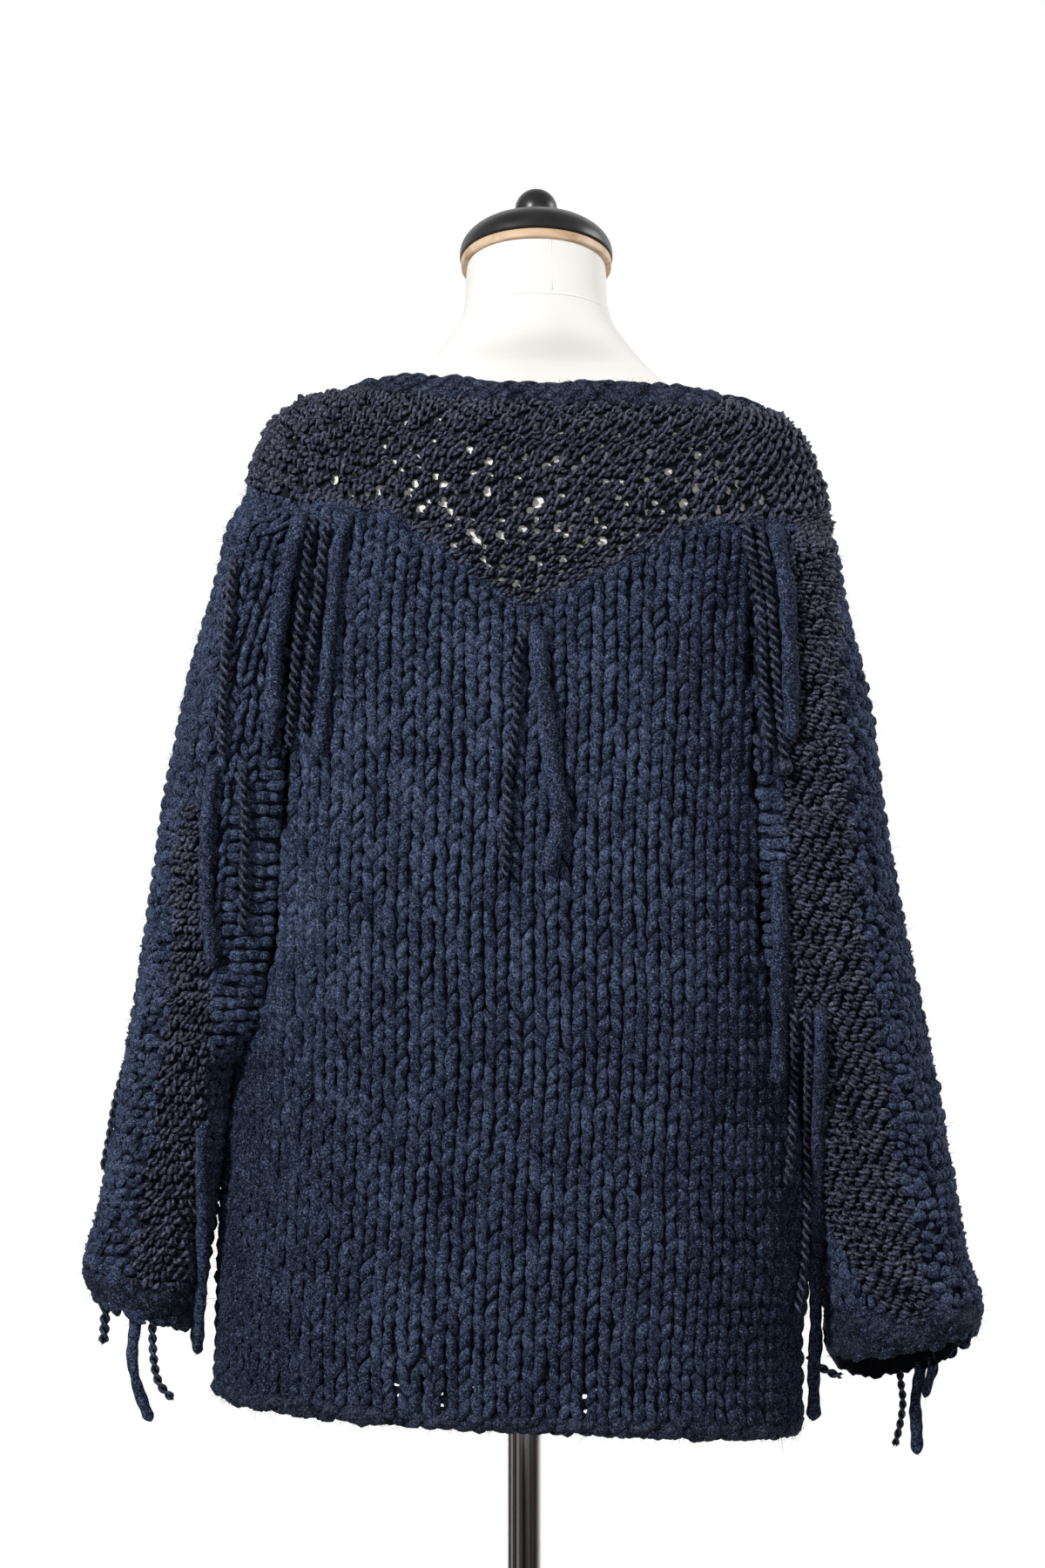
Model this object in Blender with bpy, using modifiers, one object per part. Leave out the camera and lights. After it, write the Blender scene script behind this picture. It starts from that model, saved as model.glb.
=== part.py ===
"""Chunky knit sweater on a limbless dress form. Metres, +Z up.

The origin is on the floor under the pole. The sweater's back faces -Y, and +X is right seen from there.
Tables are in millimetres. Heights of the garment in them are nominal: TILT and the drops make them real ones.
"""

import math

import bmesh
import bpy
import numpy as np
from mathutils import Vector
from mathutils.bvhtree import BVHTree

MM = 0.001
SEAM_GAP = 0.3 * MM
WALL = 8.0 * MM
SEAT_GAP = 0.5 * MM
TILT = -0.04
BODY_POWER = 2.3
TORSO_POWER = 2.1

BACK_COLUMNS = 26
FRONT_COLUMNS = 24
SLEEVE_COLUMNS = 18
YOKE_ROWS = 7
YOKE_RUN = 110.0
YOKE_TIP_X = 2.0
YOKE_TIP_DEPTH = 82.0
YOKE_TIP_LEFT = 98.0
YOKE_TIP_RIGHT = 116.0
SLEEVE_BLEND = 40.0

# The body's cross-sections from the neckline to the hem. The seams are where the armholes cut the body.
BODY_COLUMNS = ("height", "left", "right", "back", "front", "drop_back", "drop_front", "drop_left",
                "drop_right", "seam_left", "seam_right")
BODY = (
    (1419, -113, 150, 68, 62, 10, 38, 0, 0, -100, 137),
    (1414, -146, 180, 82, 78, 20, 45, 0, 0, -124, 150),
    (1402, -175, 200, 93, 91, 29, 48, 0, 0, -147, 162),
    (1378, -193, 214, 103, 104, 31, 42, 0, 0, -160, 164),
    (1346, -204, 223, 111, 116, 26, 28, 0, 0, -168, 164),
    (1280, -203, 212, 116, 127, 12, 12, 0, 0, -169, 164),
    (1180, -202, 205, 119, 134, 0, 0, 0, 0, -171, 166),
    (1080, -204, 202, 120, 132, 0, 0, 0, 0, -176, 170),
    (1000, -206, 202, 121, 129, 0, 0, 0, 0, -183, 177),
    (950, -209, 204, 122, 128, 0, 0, 0, 0, -195, 190),
    (915, -213, 206, 122, 127, 0, 0, 0, 0, -213, 206),
    (860, -221, 209, 123, 127, 0, 0, 0, 0, -221, 209),
    (790, -227, 211, 124, 126, -1, -1, -1, 2, -227, 211),
    (720, -229, 211, 125, 125, -3, -2, -3, 4, -229, 211),
    (660, -230, 209, 125, 124, -5, -3, -6, 6, -230, 209),
)
YOKE_STEPS = 4
CAP_HEIGHT = 1346.0
UNDERARM_HEIGHT = 915.0
UPPER_HEIGHTS = (1346, 1290, 1225, 1155, 1080, 1010, 955, 915)
LOWER_HEIGHTS = (915, 880, 835, 785, 735, 690, 674)
HEM_HEIGHT = 660.0

# The sleeves' cross-sections. Above the underarm the armhole cuts off the inner side.
SLEEVE_COLUMN_NAMES = ("height", "inner", "outer", "back", "front", "outer_lift", "front_drop")
SLEEVES = {
    "left": (
        (1346, -140, -213, 84, 90, 0, 0),
        (1280, -140, -226, 86, 92, 0, 0),
        (1200, -142, -248, 88, 94, 0, 0),
        (1120, -146, -264, 86, 90, 0, 0),
        (1040, -155, -276, 82, 86, 0, 0),
        (970, -172, -286, 77, 80, 0, 0),
        (915, -213.7, -295, 70, 72, 0, 0),
        (870, -220.5, -302, 66, 68, 0, 0),
        (820, -225.6, -315, 63, 65, 0, 2),
        (785, -228.8, -324, 62, 64, 1, 3),
        (757, -232, -329, 62, 64, 4, 4),
        (724, -238, -317, 60, 62, 8, 6),
    ),
    "right": (
        (1346, 140, 228, 84, 90, 0, 0),
        (1280, 138, 236, 86, 92, 0, 0),
        (1200, 140, 255, 88, 94, 0, 0),
        (1120, 146, 266, 86, 90, 0, 0),
        (1040, 155, 280, 82, 86, 0, 0),
        (970, 172, 295, 77, 80, 0, 0),
        (915, 206.8, 306, 70, 72, 0, 0),
        (870, 213, 314, 68, 68, 0, 0),
        (820, 219, 323, 66, 66, 0, 6),
        (785, 223, 333, 65, 66, 2, 14),
        (757, 226, 341, 64, 66, 5, 22),
        (724, 230, 335, 62, 64, 9, 32),
    ),
}
SLEEVE_HEIGHTS = (915, 885, 855, 820, 785, 757)
CUFF_HEIGHTS = (757, 741, 724)

# Moss panels on the sleeves, as (height, first, last): from this height down, these columns are charcoal.
MOSS = {
    "left": ((1080, 4, 7), (1010, 3, 7), (955, 2, 6), (915, 1, 6), (855, 0, 6), (757, 0, 0)),
    "right": ((1346, 0, 6), (955, 0, 6), (820, 1, 6), (785, 2, 7), (757, 0, 0)),
}

# See-through gaps in the back yoke, one inside a cell, in every other cell of the open part of the knit.
YOKE_GAP_ROWS = (1, 2, 3, 4, 5, 6)
YOKE_GAP_FIRST = 2
YOKE_GAP_LAST = 23
YOKE_GAP_POINT_ROW = 6
YOKE_GAP_POINT_REACH = 6
YOKE_GAP_SIZE = 5.2 * MM
YOKE_GAP_SPREAD = 0.12
YOKE_GAP_SHIFT = 0.14

NECKBAND_HEIGHT = 15.0 * MM
NECKBAND_THICKNESS = 9.0 * MM
NECKBAND_SEAT = -0.2 * MM
HEM_BAND_THICKNESS = 11.0 * MM

# The torso under the sweater, then its neck above the shoulders.
TORSO_COLUMNS = ("height", "centre_x", "centre_y", "half_width", "half_depth", "lean")
TORSO_BODY = (
    (716.3, 0, 0, 148, 98, 0),
    (770, 0, 0, 166, 110, 0),
    (860, 0, 1, 160, 105, 0),
    (970, 0, 2, 132, 92, 0),
    (1080, 0, 5, 142, 100, 0),
    (1180, 0, 9, 158, 112, 0),
    (1260, 1, 7, 160, 104, 0),
)
TORSO_NECK = (
    (1438, 11, 2, 84, 40, 4),
    (1454, 9, 6, 71, 50, 9),
    (1472, 9, 10, 58, 52, 13),
    (1512, 9, 20, 52, 51, 18),
)
SEAT_ROWS = (5, 4, 3, 2)
NECKLINE_INSET = 20.0 * MM

NECK_TOP = Vector((9 * MM, 20 * MM, 1512 * MM))
NECK_LEAN = math.radians(18)
NECK_DISC_RADIUS = 56.5 * MM
NECK_DISC_HEIGHT = 8.0 * MM
CAP_RADIUS = 57.5 * MM
CAP_DOME_HEIGHT = 31.0 * MM
CAP_FULLNESS = 0.85
CAP_RIM_HEIGHT = 4.0 * MM
KNOB_RADIUS = 16.0 * MM
KNOB_NECK_RADIUS = 12.5 * MM
KNOB_LIFT = 10.0 * MM

PLATE_BOTTOM = 706.0 * MM
PLATE_THICKNESS = 10.0 * MM
PLATE_HALF_WIDTH = 145.0 * MM
PLATE_HALF_DEPTH = 95.0 * MM
POLE_RADIUS = 13.0 * MM
BASE_RADIUS = 165.0 * MM
BASE_EDGE = 8.0 * MM
BASE_CROWN = 14.0 * MM
SOCKET_RADIUS = 24.0 * MM
SOCKET_TOP = 60.0 * MM
SOCKET_FLOOR = 14.0 * MM

NAVY = (0.022, 0.030, 0.055)
CHARCOAL = (0.040, 0.040, 0.048)
CREAM = (0.86, 0.84, 0.80)
WOOD = (0.58, 0.36, 0.20)
BLACK = (0.012, 0.012, 0.014)
CHROME = (0.72, 0.72, 0.73)

# Loose yarn ends. Each group hangs from one small knot, a bar with a cell for each strand.
# A strand is (half width, route), and its route is (x, z) in millimetres, its first point at the knot.
KNOT_HEIGHT = 7.0 * MM
STRAND_CLEARANCE = 1.0 * MM
KNOT_CLEARANCE = 0.4 * MM
STRAND_FOLLOW = 4.0 * MM
TWIST = 3.3
ROVING = 6.0
DRAPED_GROUPS = {
    "ends_yoke_left": (
        (ROVING, ((-171, 1312), (-177, 1280), (-180, 1240), (-182, 1200), (-184, 1158))),
        (TWIST, ((-157, 1312), (-161, 1280), (-166, 1230), (-169, 1190), (-172, 1156))),
        (TWIST, ((-145, 1312), (-149, 1280), (-154, 1230), (-158, 1195), (-160, 1170))),
        (ROVING - 1, ((-132, 1312), (-136, 1285), (-141, 1240), (-145, 1195), (-148, 1154))),
    ),
    "ends_yoke_point": (
        (TWIST, ((-3, 1236), (-5, 1215), (-6, 1184), (-11, 1137), (-12, 1100), (-14, 1063))),
        (ROVING + 1.5, ((9, 1236), (9, 1212), (14, 1176), (18, 1145), (22, 1108), (17, 1066))),
    ),
    "ends_yoke_right": (
        (TWIST, ((161, 1308), (168, 1280), (171, 1250), (172, 1205), (175, 1152))),
        (TWIST, ((171, 1308), (177, 1280), (179.5, 1240), (181, 1200), (186, 1146))),
        (ROVING, ((183, 1308), (188, 1280), (191, 1250), (192, 1210), (193, 1162))),
    ),
    "end_left_sleeve_top": (
        (TWIST, ((-212, 1286), (-215, 1240), (-218, 1195), (-219, 1150))),
    ),
    "ends_left_sleeve": (
        (ROVING - 1, ((-226, 1136), (-230, 1100), (-230, 1040), (-226, 997))),
        (TWIST, ((-204, 1136), (-202, 1100), (-203, 1060), (-204, 1022))),
    ),
    "end_left_inner": (
        (ROVING - 1.5, ((-236, 872), (-236, 820), (-237, 770), (-240, 740), (-242, 708))),
    ),
    "end_right_crease": (
        (ROVING, ((184, 1064), (185, 1010), (185.5, 960), (185.5, 912))),
    ),
    "ends_right_side": (
        (TWIST, ((197, 960), (199, 920), (200, 880), (197, 838))),
        (TWIST, ((206, 960), (207, 910), (207, 850), (205, 785), (200, 742))),
        (ROVING - 1.5, ((217, 960), (214, 900), (214, 800), (212, 735), (211, 656))),
    ),
}
# Strands under a cuff's lower edge: half width, the sleeve's column above it, (x, y, z) steps from there.
CUFF_GROUPS = {
    "end_left_cuff_outer": ("left", (
        (TWIST + 0.3, 8.0, ((0, 0, 0), (-1, -1, -9), (-1, -2, -17), (-2, -2, -24))),
    )),
    "ends_left_cuff": ("left", (
        (TWIST + 0.8, 5.2, ((0, 0, 0), (-2, -2, -24), (2, -3, -46), (12, -3, -70))),
        (TWIST - 0.3, 4.3, ((0, 0, 0), (1, -2, -20), (5, -3, -38), (15, -3, -50))),
    )),
    "ends_right_cuff": ("right", (
        (TWIST - 0.6, 13.35, ((0, 0, 0), (2, 1, -18), (0, 1, -35), (-4, 1, -52))),
        (ROVING - 1.5, 12.55, ((0, 0, 0), (-3, 1, -20), (-3, 1, -40), (-2, 1, -62))),
        (ROVING - 2, 11.9, ((0, 0, 0), (-2, 1, -7), (-4, 1, -14), (-6, 1, -22))),
    )),
}
# The strand down the left sleeve's outer edge: its half width, then the nominal heights of its points.
EDGE_END = (TWIST - 0.5, (905, 880, 855, 830))


def clear_scene():
    for obj in list(bpy.data.objects):
        bpy.data.objects.remove(obj, do_unlink=True)


def new_collection(name):
    collection = bpy.data.collections.new(name)
    bpy.context.scene.collection.children.link(collection)
    return collection


def material(name, colour, roughness, metallic=0.0):
    mat = bpy.data.materials.new(name)
    mat.use_nodes = True
    shader = mat.node_tree.nodes["Principled BSDF"]
    shader.inputs["Base Color"].default_value = (*colour, 1.0)
    shader.inputs["Roughness"].default_value = roughness
    shader.inputs["Metallic"].default_value = metallic
    return mat


def add_mesh(name, points, faces, mat, collection, smooth_angle=50.0):
    mesh = bpy.data.meshes.new(name)
    mesh.from_pydata([tuple(p) for p in points], [], faces)
    build = bmesh.new()
    build.from_mesh(mesh)
    bmesh.ops.recalc_face_normals(build, faces=build.faces[:])
    build.to_mesh(mesh)
    build.free()
    mesh.shade_smooth()
    mesh.set_sharp_from_angle(angle=math.radians(smooth_angle))
    mesh.materials.append(mat)
    obj = bpy.data.objects.new(name, mesh)
    collection.objects.link(obj)
    return obj


def read_table(columns, rows, height):
    """The table's values at a height, on smooth curves through its rows, which run from the highest down."""
    data = np.array(rows, dtype=float)
    heights = data[:, 0]
    at = min(max(height, heights[-1]), heights[0])
    slopes = np.gradient(data, heights, axis=0)
    low = int(np.clip(np.searchsorted(-heights, -at, side="right") - 1, 0, len(heights) - 2))
    span = heights[low + 1] - heights[low]
    t = (at - heights[low]) / span
    value = (
        (2 * t ** 3 - 3 * t ** 2 + 1) * data[low]
        + (t ** 3 - 2 * t ** 2 + t) * span * slopes[low]
        + (3 * t ** 2 - 2 * t ** 3) * data[low + 1]
        + (t ** 3 - t ** 2) * span * slopes[low + 1]
    )
    section = dict(zip(columns, value))
    section["height"] = height
    return section


def signed_power(value, power):
    return math.copysign(abs(value) ** power, value)


def body_section(height):
    return read_table(BODY_COLUMNS, BODY, height)


def body_point(section, angle):
    """A point on the body's outline. The angle is 0 at the back, 90 degrees on the right and 180 in front."""
    centre = (section["left"] + section["right"]) / 2
    half = (section["right"] - section["left"]) / 2
    across = signed_power(math.sin(angle), 2 / BODY_POWER)
    along = signed_power(math.cos(angle), 2 / BODY_POWER)
    side = "back" if along > 0 else "front"
    x = centre + half * across
    y = -section[side] * along
    z = section["height"] - section["drop_" + side] * abs(math.cos(angle)) + TILT * x
    z -= section["drop_right" if x > 0 else "drop_left"] * math.sin(angle) ** 2
    return Vector((x, y, z)) * MM


def seam_angles(section):
    """The angles at which the left and the right armhole seam cut the body's outline at the back."""
    centre = (section["left"] + section["right"]) / 2
    half = (section["right"] - section["left"]) / 2
    reach = [min(1.0, abs(section[seam] - centre) / half) for seam in ("seam_left", "seam_right")]
    if section["height"] <= UNDERARM_HEIGHT:
        reach = [1.0, 1.0]
    return [math.asin(r ** (BODY_POWER / 2)) for r in reach]


def sleeve_tube_point(side, height, fraction):
    """A point on the sleeve's own tube. The fraction runs from the back seam round to the front seam."""
    section = read_table(SLEEVE_COLUMN_NAMES, SLEEVES[side], height)
    centre = (section["inner"] + section["outer"]) / 2
    half = (section["outer"] - section["inner"]) / 2
    start = 0.0
    if height > UNDERARM_HEIGHT:
        seam = body_section(height)["seam_" + side]
        reach = min(max((centre - seam) / half, 0.0), 1.0)
        start = math.acos(reach ** (BODY_POWER / 2))
    angle = start + (2 * math.pi - 2 * start) * fraction
    inward = signed_power(math.cos(angle), 2 / BODY_POWER)
    backward = signed_power(math.sin(angle), 2 / BODY_POWER)
    x = centre - half * inward
    y = -section["back"] * backward if backward > 0 else -section["front"] * backward
    z = height + TILT * x
    z -= section["outer_lift"] * inward + section["front_drop"] * max(0.0, -backward)
    return Vector((x, y, z)) * MM


def ease(t):
    t = min(max(t, 0.0), 1.0)
    return t * t * (3 - 2 * t)


def sleeve_point(side, height, column):
    """A point on the sleeve, from the back seam at column 0 to the front seam at SLEEVE_COLUMNS."""
    fraction = column / SLEEVE_COLUMNS
    tube = sleeve_tube_point(side, height, fraction)
    if height <= UNDERARM_HEIGHT:
        return tube
    section = body_section(height)
    turn = seam_angles(section)[0 if side == "left" else 1]
    sign = -1 if side == "left" else 1
    on_body = body_point(section, sign * (turn + (math.pi - 2 * turn) * fraction))
    back_end = body_point(section, sign * turn) - sleeve_tube_point(side, height, 0.0)
    front_end = body_point(section, sign * (math.pi - turn)) - sleeve_tube_point(side, height, 1.0)
    tube += back_end * ease(1 - 4 * fraction) + front_end * ease(4 * fraction - 3)
    return on_body.lerp(tube, ease((CAP_HEIGHT - height) / SLEEVE_BLEND))


def yoke_depth(x):
    """How far the back yoke's V reaches below the cap line at x."""
    reach = YOKE_TIP_LEFT if x < YOKE_TIP_X else YOKE_TIP_RIGHT
    return YOKE_TIP_DEPTH * max(0.0, 1 - abs(x - YOKE_TIP_X) / reach)


def loop_parts():
    """The loop round body and sleeves, as (part, column in the part) for each column of the loop."""
    parts = [("back", i) for i in range(BACK_COLUMNS)]
    parts += [("right", i) for i in range(SLEEVE_COLUMNS)]
    parts += [("front", i) for i in range(FRONT_COLUMNS)]
    parts += [("left", SLEEVE_COLUMNS - i) for i in range(SLEEVE_COLUMNS)]
    return parts


LOOP = loop_parts()
RIGHT_START = BACK_COLUMNS
FRONT_START = RIGHT_START + SLEEVE_COLUMNS
LEFT_START = FRONT_START + FRONT_COLUMNS


def loop_angle(part, column, turns):
    left, right = turns
    if part == "back":
        return -left + (left + right) * column / BACK_COLUMNS
    if part == "right":
        return right + (math.pi - 2 * right) * column / SLEEVE_COLUMNS
    if part == "left":
        return -left - (math.pi - 2 * left) * column / SLEEVE_COLUMNS
    return (math.pi - right) + (left + right) * column / FRONT_COLUMNS


def cap_point(part, column):
    section = body_section(CAP_HEIGHT)
    return body_point(section, loop_angle(part, column, seam_angles(section)))


def column_depth(part, column):
    return yoke_depth(cap_point(part, column).x / MM) if part == "back" else 0.0


def yoke_point(row, column):
    """Row 0 is the neckline, and the last row is the yoke's lower edge, with its V at the back."""
    part, at = LOOP[column]
    run = (YOKE_RUN + column_depth(part, at)) * row / YOKE_ROWS
    if run <= YOKE_RUN:
        steps = [line[0] for line in BODY[:YOKE_STEPS + 1]]
        height = float(np.interp(run / YOKE_RUN * YOKE_STEPS, range(YOKE_STEPS + 1), steps))
    else:
        height = CAP_HEIGHT - (run - YOKE_RUN)
    turns = seam_angles(body_section(CAP_HEIGHT))
    return body_point(body_section(height), loop_angle(part, at, turns))


def upper_point(row, column):
    """Row 0 is the yoke's lower edge, and the last row is the underarm."""
    part, at = LOOP[column]
    edge_height = UPPER_HEIGHTS[row]
    if part in ("left", "right"):
        return sleeve_point(part, edge_height, at)
    share = (CAP_HEIGHT - edge_height) / (CAP_HEIGHT - UNDERARM_HEIGHT)
    top = CAP_HEIGHT - column_depth(part, at)
    height = top + (UNDERARM_HEIGHT - top) * share
    turns = seam_angles(body_section(edge_height))
    return body_point(body_section(height), loop_angle(part, at, turns))


def body_angle(column):
    """The body's own loop below the underarm: the back's columns, then the front's."""
    if column <= BACK_COLUMNS:
        return math.pi * (column / BACK_COLUMNS - 0.5)
    return math.pi * (0.5 + (column - BACK_COLUMNS) / FRONT_COLUMNS)


def is_body(part):
    return part in ("back", "front")


class Cloth:
    """The sweater's outer surface as points with keys, and cells of four keys, sorted into pieces."""

    def __init__(self):
        self.points = {}
        self.cells = {}

    def add_cell(self, piece, label, keys):
        self.cells.setdefault(piece, {})[label] = keys

    def normals(self):
        total = {key: Vector() for key in self.points}
        for cells in self.cells.values():
            for keys in cells.values():
                a, b, c, d = [self.points[key] for key in keys]
                area = (c - a).cross(d - b)
                for key in keys:
                    total[key] += area
        return {key: vector.normalized() for key, vector in total.items()}


def loop_key(row, column):
    """The key of a point in the loop. At the underarm the body and the sleeves part."""
    column %= len(LOOP)
    if row < YOKE_ROWS + len(UPPER_HEIGHTS) - 1:
        return ("loop", row, column)
    return ("underarm", column)


def underarm_keys(row, column, part):
    """The key below a cell of the given part, on the underarm row or above it."""
    key = loop_key(row, column)
    if key[0] == "loop":
        return key
    column = key[1]
    if is_body(part):
        if column <= RIGHT_START:
            return ("body", 0, column)
        if column <= LEFT_START and column >= FRONT_START:
            at = BACK_COLUMNS + column - FRONT_START
            return ("body", 0, at % (BACK_COLUMNS + FRONT_COLUMNS))
        return ("body", 0, 0)
    if part == "right":
        return ("right", 0, (column - RIGHT_START) % SLEEVE_COLUMNS)
    return ("left", 0, (len(LOOP) - column) % SLEEVE_COLUMNS if column else 0)


def moss_at(side, height, column):
    first, last = 0, 0
    for top, starts, ends in MOSS[side]:
        if height <= top:
            first, last = starts, ends
    return first <= column < last


def sleeve_piece(side, height, column):
    return "sleeve_" + side + ("_moss" if moss_at(side, height, column) else "")


def cell_part(column):
    if column < RIGHT_START:
        return "back", column
    if column < FRONT_START:
        return "right", column - RIGHT_START
    if column < LEFT_START:
        return "front", column - FRONT_START
    return "left", len(LOOP) - 1 - column


def add_yoke(cloth):
    for column in range(len(LOOP)):
        for row in range(YOKE_ROWS + 1):
            cloth.points[("loop", row, column)] = yoke_point(row, column)
    right_shoulder = RIGHT_START + SLEEVE_COLUMNS // 2
    left_shoulder = LEFT_START + SLEEVE_COLUMNS // 2
    for column in range(len(LOOP)):
        piece = "yoke_front" if right_shoulder <= column < left_shoulder else "yoke_back"
        for row in range(YOKE_ROWS):
            keys = (loop_key(row, column), loop_key(row + 1, column),
                    loop_key(row + 1, column + 1), loop_key(row, column + 1))
            cloth.add_cell(piece, (row, column), keys)


def add_upper(cloth):
    last = len(UPPER_HEIGHTS) - 1
    for column in range(len(LOOP)):
        for row in range(1, last):
            cloth.points[("loop", YOKE_ROWS + row, column)] = upper_point(row, column)
    for column in range(len(LOOP)):
        part, at = cell_part(column)
        for row in range(last):
            low, high = YOKE_ROWS + row + 1, YOKE_ROWS + row
            keys = (underarm_keys(high, column, part), underarm_keys(low, column, part),
                    underarm_keys(low, column + 1, part), underarm_keys(high, column + 1, part))
            piece = "sweater_" + part
            if not is_body(part):
                piece = sleeve_piece(part, UPPER_HEIGHTS[row], at)
            cloth.add_cell(piece, (high, column), keys)


def add_lower_body(cloth):
    around = BACK_COLUMNS + FRONT_COLUMNS
    for row, height in enumerate(LOWER_HEIGHTS):
        for column in range(around):
            cloth.points[("body", row, column)] = body_point(body_section(height), body_angle(column))
    for column in range(around):
        piece = "sweater_back" if column < BACK_COLUMNS else "sweater_front"
        for row in range(len(LOWER_HEIGHTS) - 1):
            after = (column + 1) % around
            keys = (("body", row, column), ("body", row + 1, column),
                    ("body", row + 1, after), ("body", row, after))
            cloth.add_cell(piece, ("low", row, column), keys)


def add_lower_sleeve(cloth, side):
    heights = SLEEVE_HEIGHTS + CUFF_HEIGHTS[1:]
    for row, height in enumerate(heights):
        for column in range(SLEEVE_COLUMNS):
            cloth.points[(side, row, column)] = sleeve_point(side, height, column)
    for row in range(len(heights) - 1):
        for column in range(SLEEVE_COLUMNS):
            after = (column + 1) % SLEEVE_COLUMNS
            first, second = (column, after) if side == "right" else (after, column)
            keys = ((side, row, first), (side, row + 1, first), (side, row + 1, second), (side, row, second))
            in_cuff = row >= len(SLEEVE_HEIGHTS) - 1
            piece = "cuff_" + side if in_cuff else sleeve_piece(side, heights[row], column)
            cloth.add_cell(piece, ("low", row, column), keys)


def make_cloth():
    cloth = Cloth()
    add_yoke(cloth)
    add_upper(cloth)
    add_lower_body(cloth)
    for side in ("left", "right"):
        add_lower_sleeve(cloth, side)
    return cloth


def edge_shifts(cloth, cells):
    """How far each point on a piece's edge moves inwards, so that the piece keeps half a gap at its seams."""
    users = {}
    for label, keys in cells.items():
        for i in range(4):
            users.setdefault(frozenset((keys[i], keys[(i + 1) % 4])), []).append(label)
    inward = {}
    for edge, labels in users.items():
        if len(labels) != 1:
            continue
        first, second = edge
        a, b = cloth.points[first], cloth.points[second]
        centre = sum((cloth.points[key] for key in cells[labels[0]]), Vector()) / 4
        direction = centre - (a + b) / 2
        along = (b - a).normalized()
        direction = (direction - along * direction.dot(along)).normalized()
        for key in edge:
            inward.setdefault(key, []).append(direction)
    shifts = {}
    for key, directions in inward.items():
        total = sum(directions, Vector())
        spread = max(0.25, (1 + directions[0].dot(directions[-1])) / 2)
        shifts[key] = total / len(directions) / spread * (SEAM_GAP / 2)
    return shifts


def gap_corners(corners, label):
    """A small square hole's corners inside a cell, set off its middle by the cell's own place in the knit."""
    row, column = label
    width = ((corners[3] - corners[0]).length + (corners[2] - corners[1]).length) / 2
    height = ((corners[1] - corners[0]).length + (corners[2] - corners[3]).length) / 2
    size = YOKE_GAP_SIZE * (1 - YOKE_GAP_SPREAD * (1 - math.cos(5.1 * column + 2.3 * row)))
    middle_u = 0.5 + YOKE_GAP_SHIFT * math.sin(3.7 * column + 1.9 * row)
    middle_v = 0.5 + YOKE_GAP_SHIFT * math.cos(2.9 * column - 1.3 * row)
    half_u, half_v = size / width / 2, size / height / 2
    places = ((middle_u - half_u, middle_v - half_v), (middle_u - half_u, middle_v + half_v),
              (middle_u + half_u, middle_v + half_v), (middle_u + half_u, middle_v - half_v))
    return [corners[0].lerp(corners[3], u).lerp(corners[1].lerp(corners[2], u), v) for u, v in places]


def rim_faces(a, b, keys, count):
    """A wall's edge as two triangles. Both pieces at a seam cut it along the same diagonal."""
    if str(keys[a]) < str(keys[b]):
        return [[b, a, b + count], [a, a + count, b + count]]
    return [[b, a, a + count], [b, a + count, b + count]]


def panel(cloth, normals, piece, mat, collection, gaps=()):
    """One piece of the cloth as a closed wall: its cells outside, the same cells inside, and its edges."""
    cells = cloth.cells[piece]
    shifts = edge_shifts(cloth, cells)
    keys = sorted({key for corner in cells.values() for key in corner}, key=str)
    index = {key: i for i, key in enumerate(keys)}
    count = len(keys)
    points = [cloth.points[key] + shifts.get(key, Vector()) for key in keys]
    points += [points[i] - normals[key] * WALL for i, key in enumerate(keys)]
    faces = []
    edges = {}
    for label, corner in cells.items():
        outer = [index[key] for key in corner]
        inner = [i + count for i in outer]
        for i in range(4):
            pair = (outer[i], outer[(i + 1) % 4])
            edges.setdefault(frozenset(pair), []).append(pair)
        if label not in gaps:
            faces.append(outer)
            faces.append(inner[::-1])
            continue
        start = len(points)
        points += gap_corners([points[i] for i in outer], label)
        points += gap_corners([points[i] for i in inner], label)
        for i in range(4):
            after = (i + 1) % 4
            faces.append([outer[i], outer[after], start + after, start + i])
            faces.append([start + 4 + i, start + 4 + after, inner[after], inner[i]])
            faces.append([start + i, start + after, start + 4 + after, start + 4 + i])
    for pairs in edges.values():
        if len(pairs) == 1:
            faces += rim_faces(*pairs[0], keys, count)
    return add_mesh(piece, points, faces, mat, collection)


def yoke_gaps(cloth):
    """The cells of the back yoke that have a see-through gap."""
    chosen = []
    for label in cloth.cells["yoke_back"]:
        row, column = label
        in_field = row in YOKE_GAP_ROWS and YOKE_GAP_FIRST <= column <= YOKE_GAP_LAST
        near_point = abs(column - BACK_COLUMNS / 2) < YOKE_GAP_POINT_REACH
        if in_field and (row + column) % 2 == 0 and (row < YOKE_GAP_POINT_ROW or near_point):
            chosen.append(label)
    return set(chosen)


def loft(name, rings, mat, collection, closed=False):
    """A closed body through rings of points, with flat ends, or joined end to end."""
    size = len(rings[0])
    points = [p for ring in rings for p in ring]
    faces = []
    count = len(rings)
    for i in range(count if closed else count - 1):
        for j in range(size):
            after, above = (j + 1) % size, (i + 1) % count
            faces.append([i * size + j, i * size + after, above * size + after, above * size + j])
    if not closed:
        faces.append(list(range(size)))
        faces.append([(count - 1) * size + j for j in range(size)])
    return add_mesh(name, points, faces, mat, collection)


ANGLE_STEP = 0.05
COLUMN_STEP = 0.1
BAND_SECTION = ((-0.6, 1.0), (0.6, 1.0), (1.0, 0.0), (0.6, -1.0), (-0.6, -1.0), (-1.0, 0.0))


def band_ring(centre, outward, upward, half_thickness, half_height):
    return [centre + outward * (u * half_thickness) + upward * (v * half_height) for u, v in BAND_SECTION]


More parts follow.
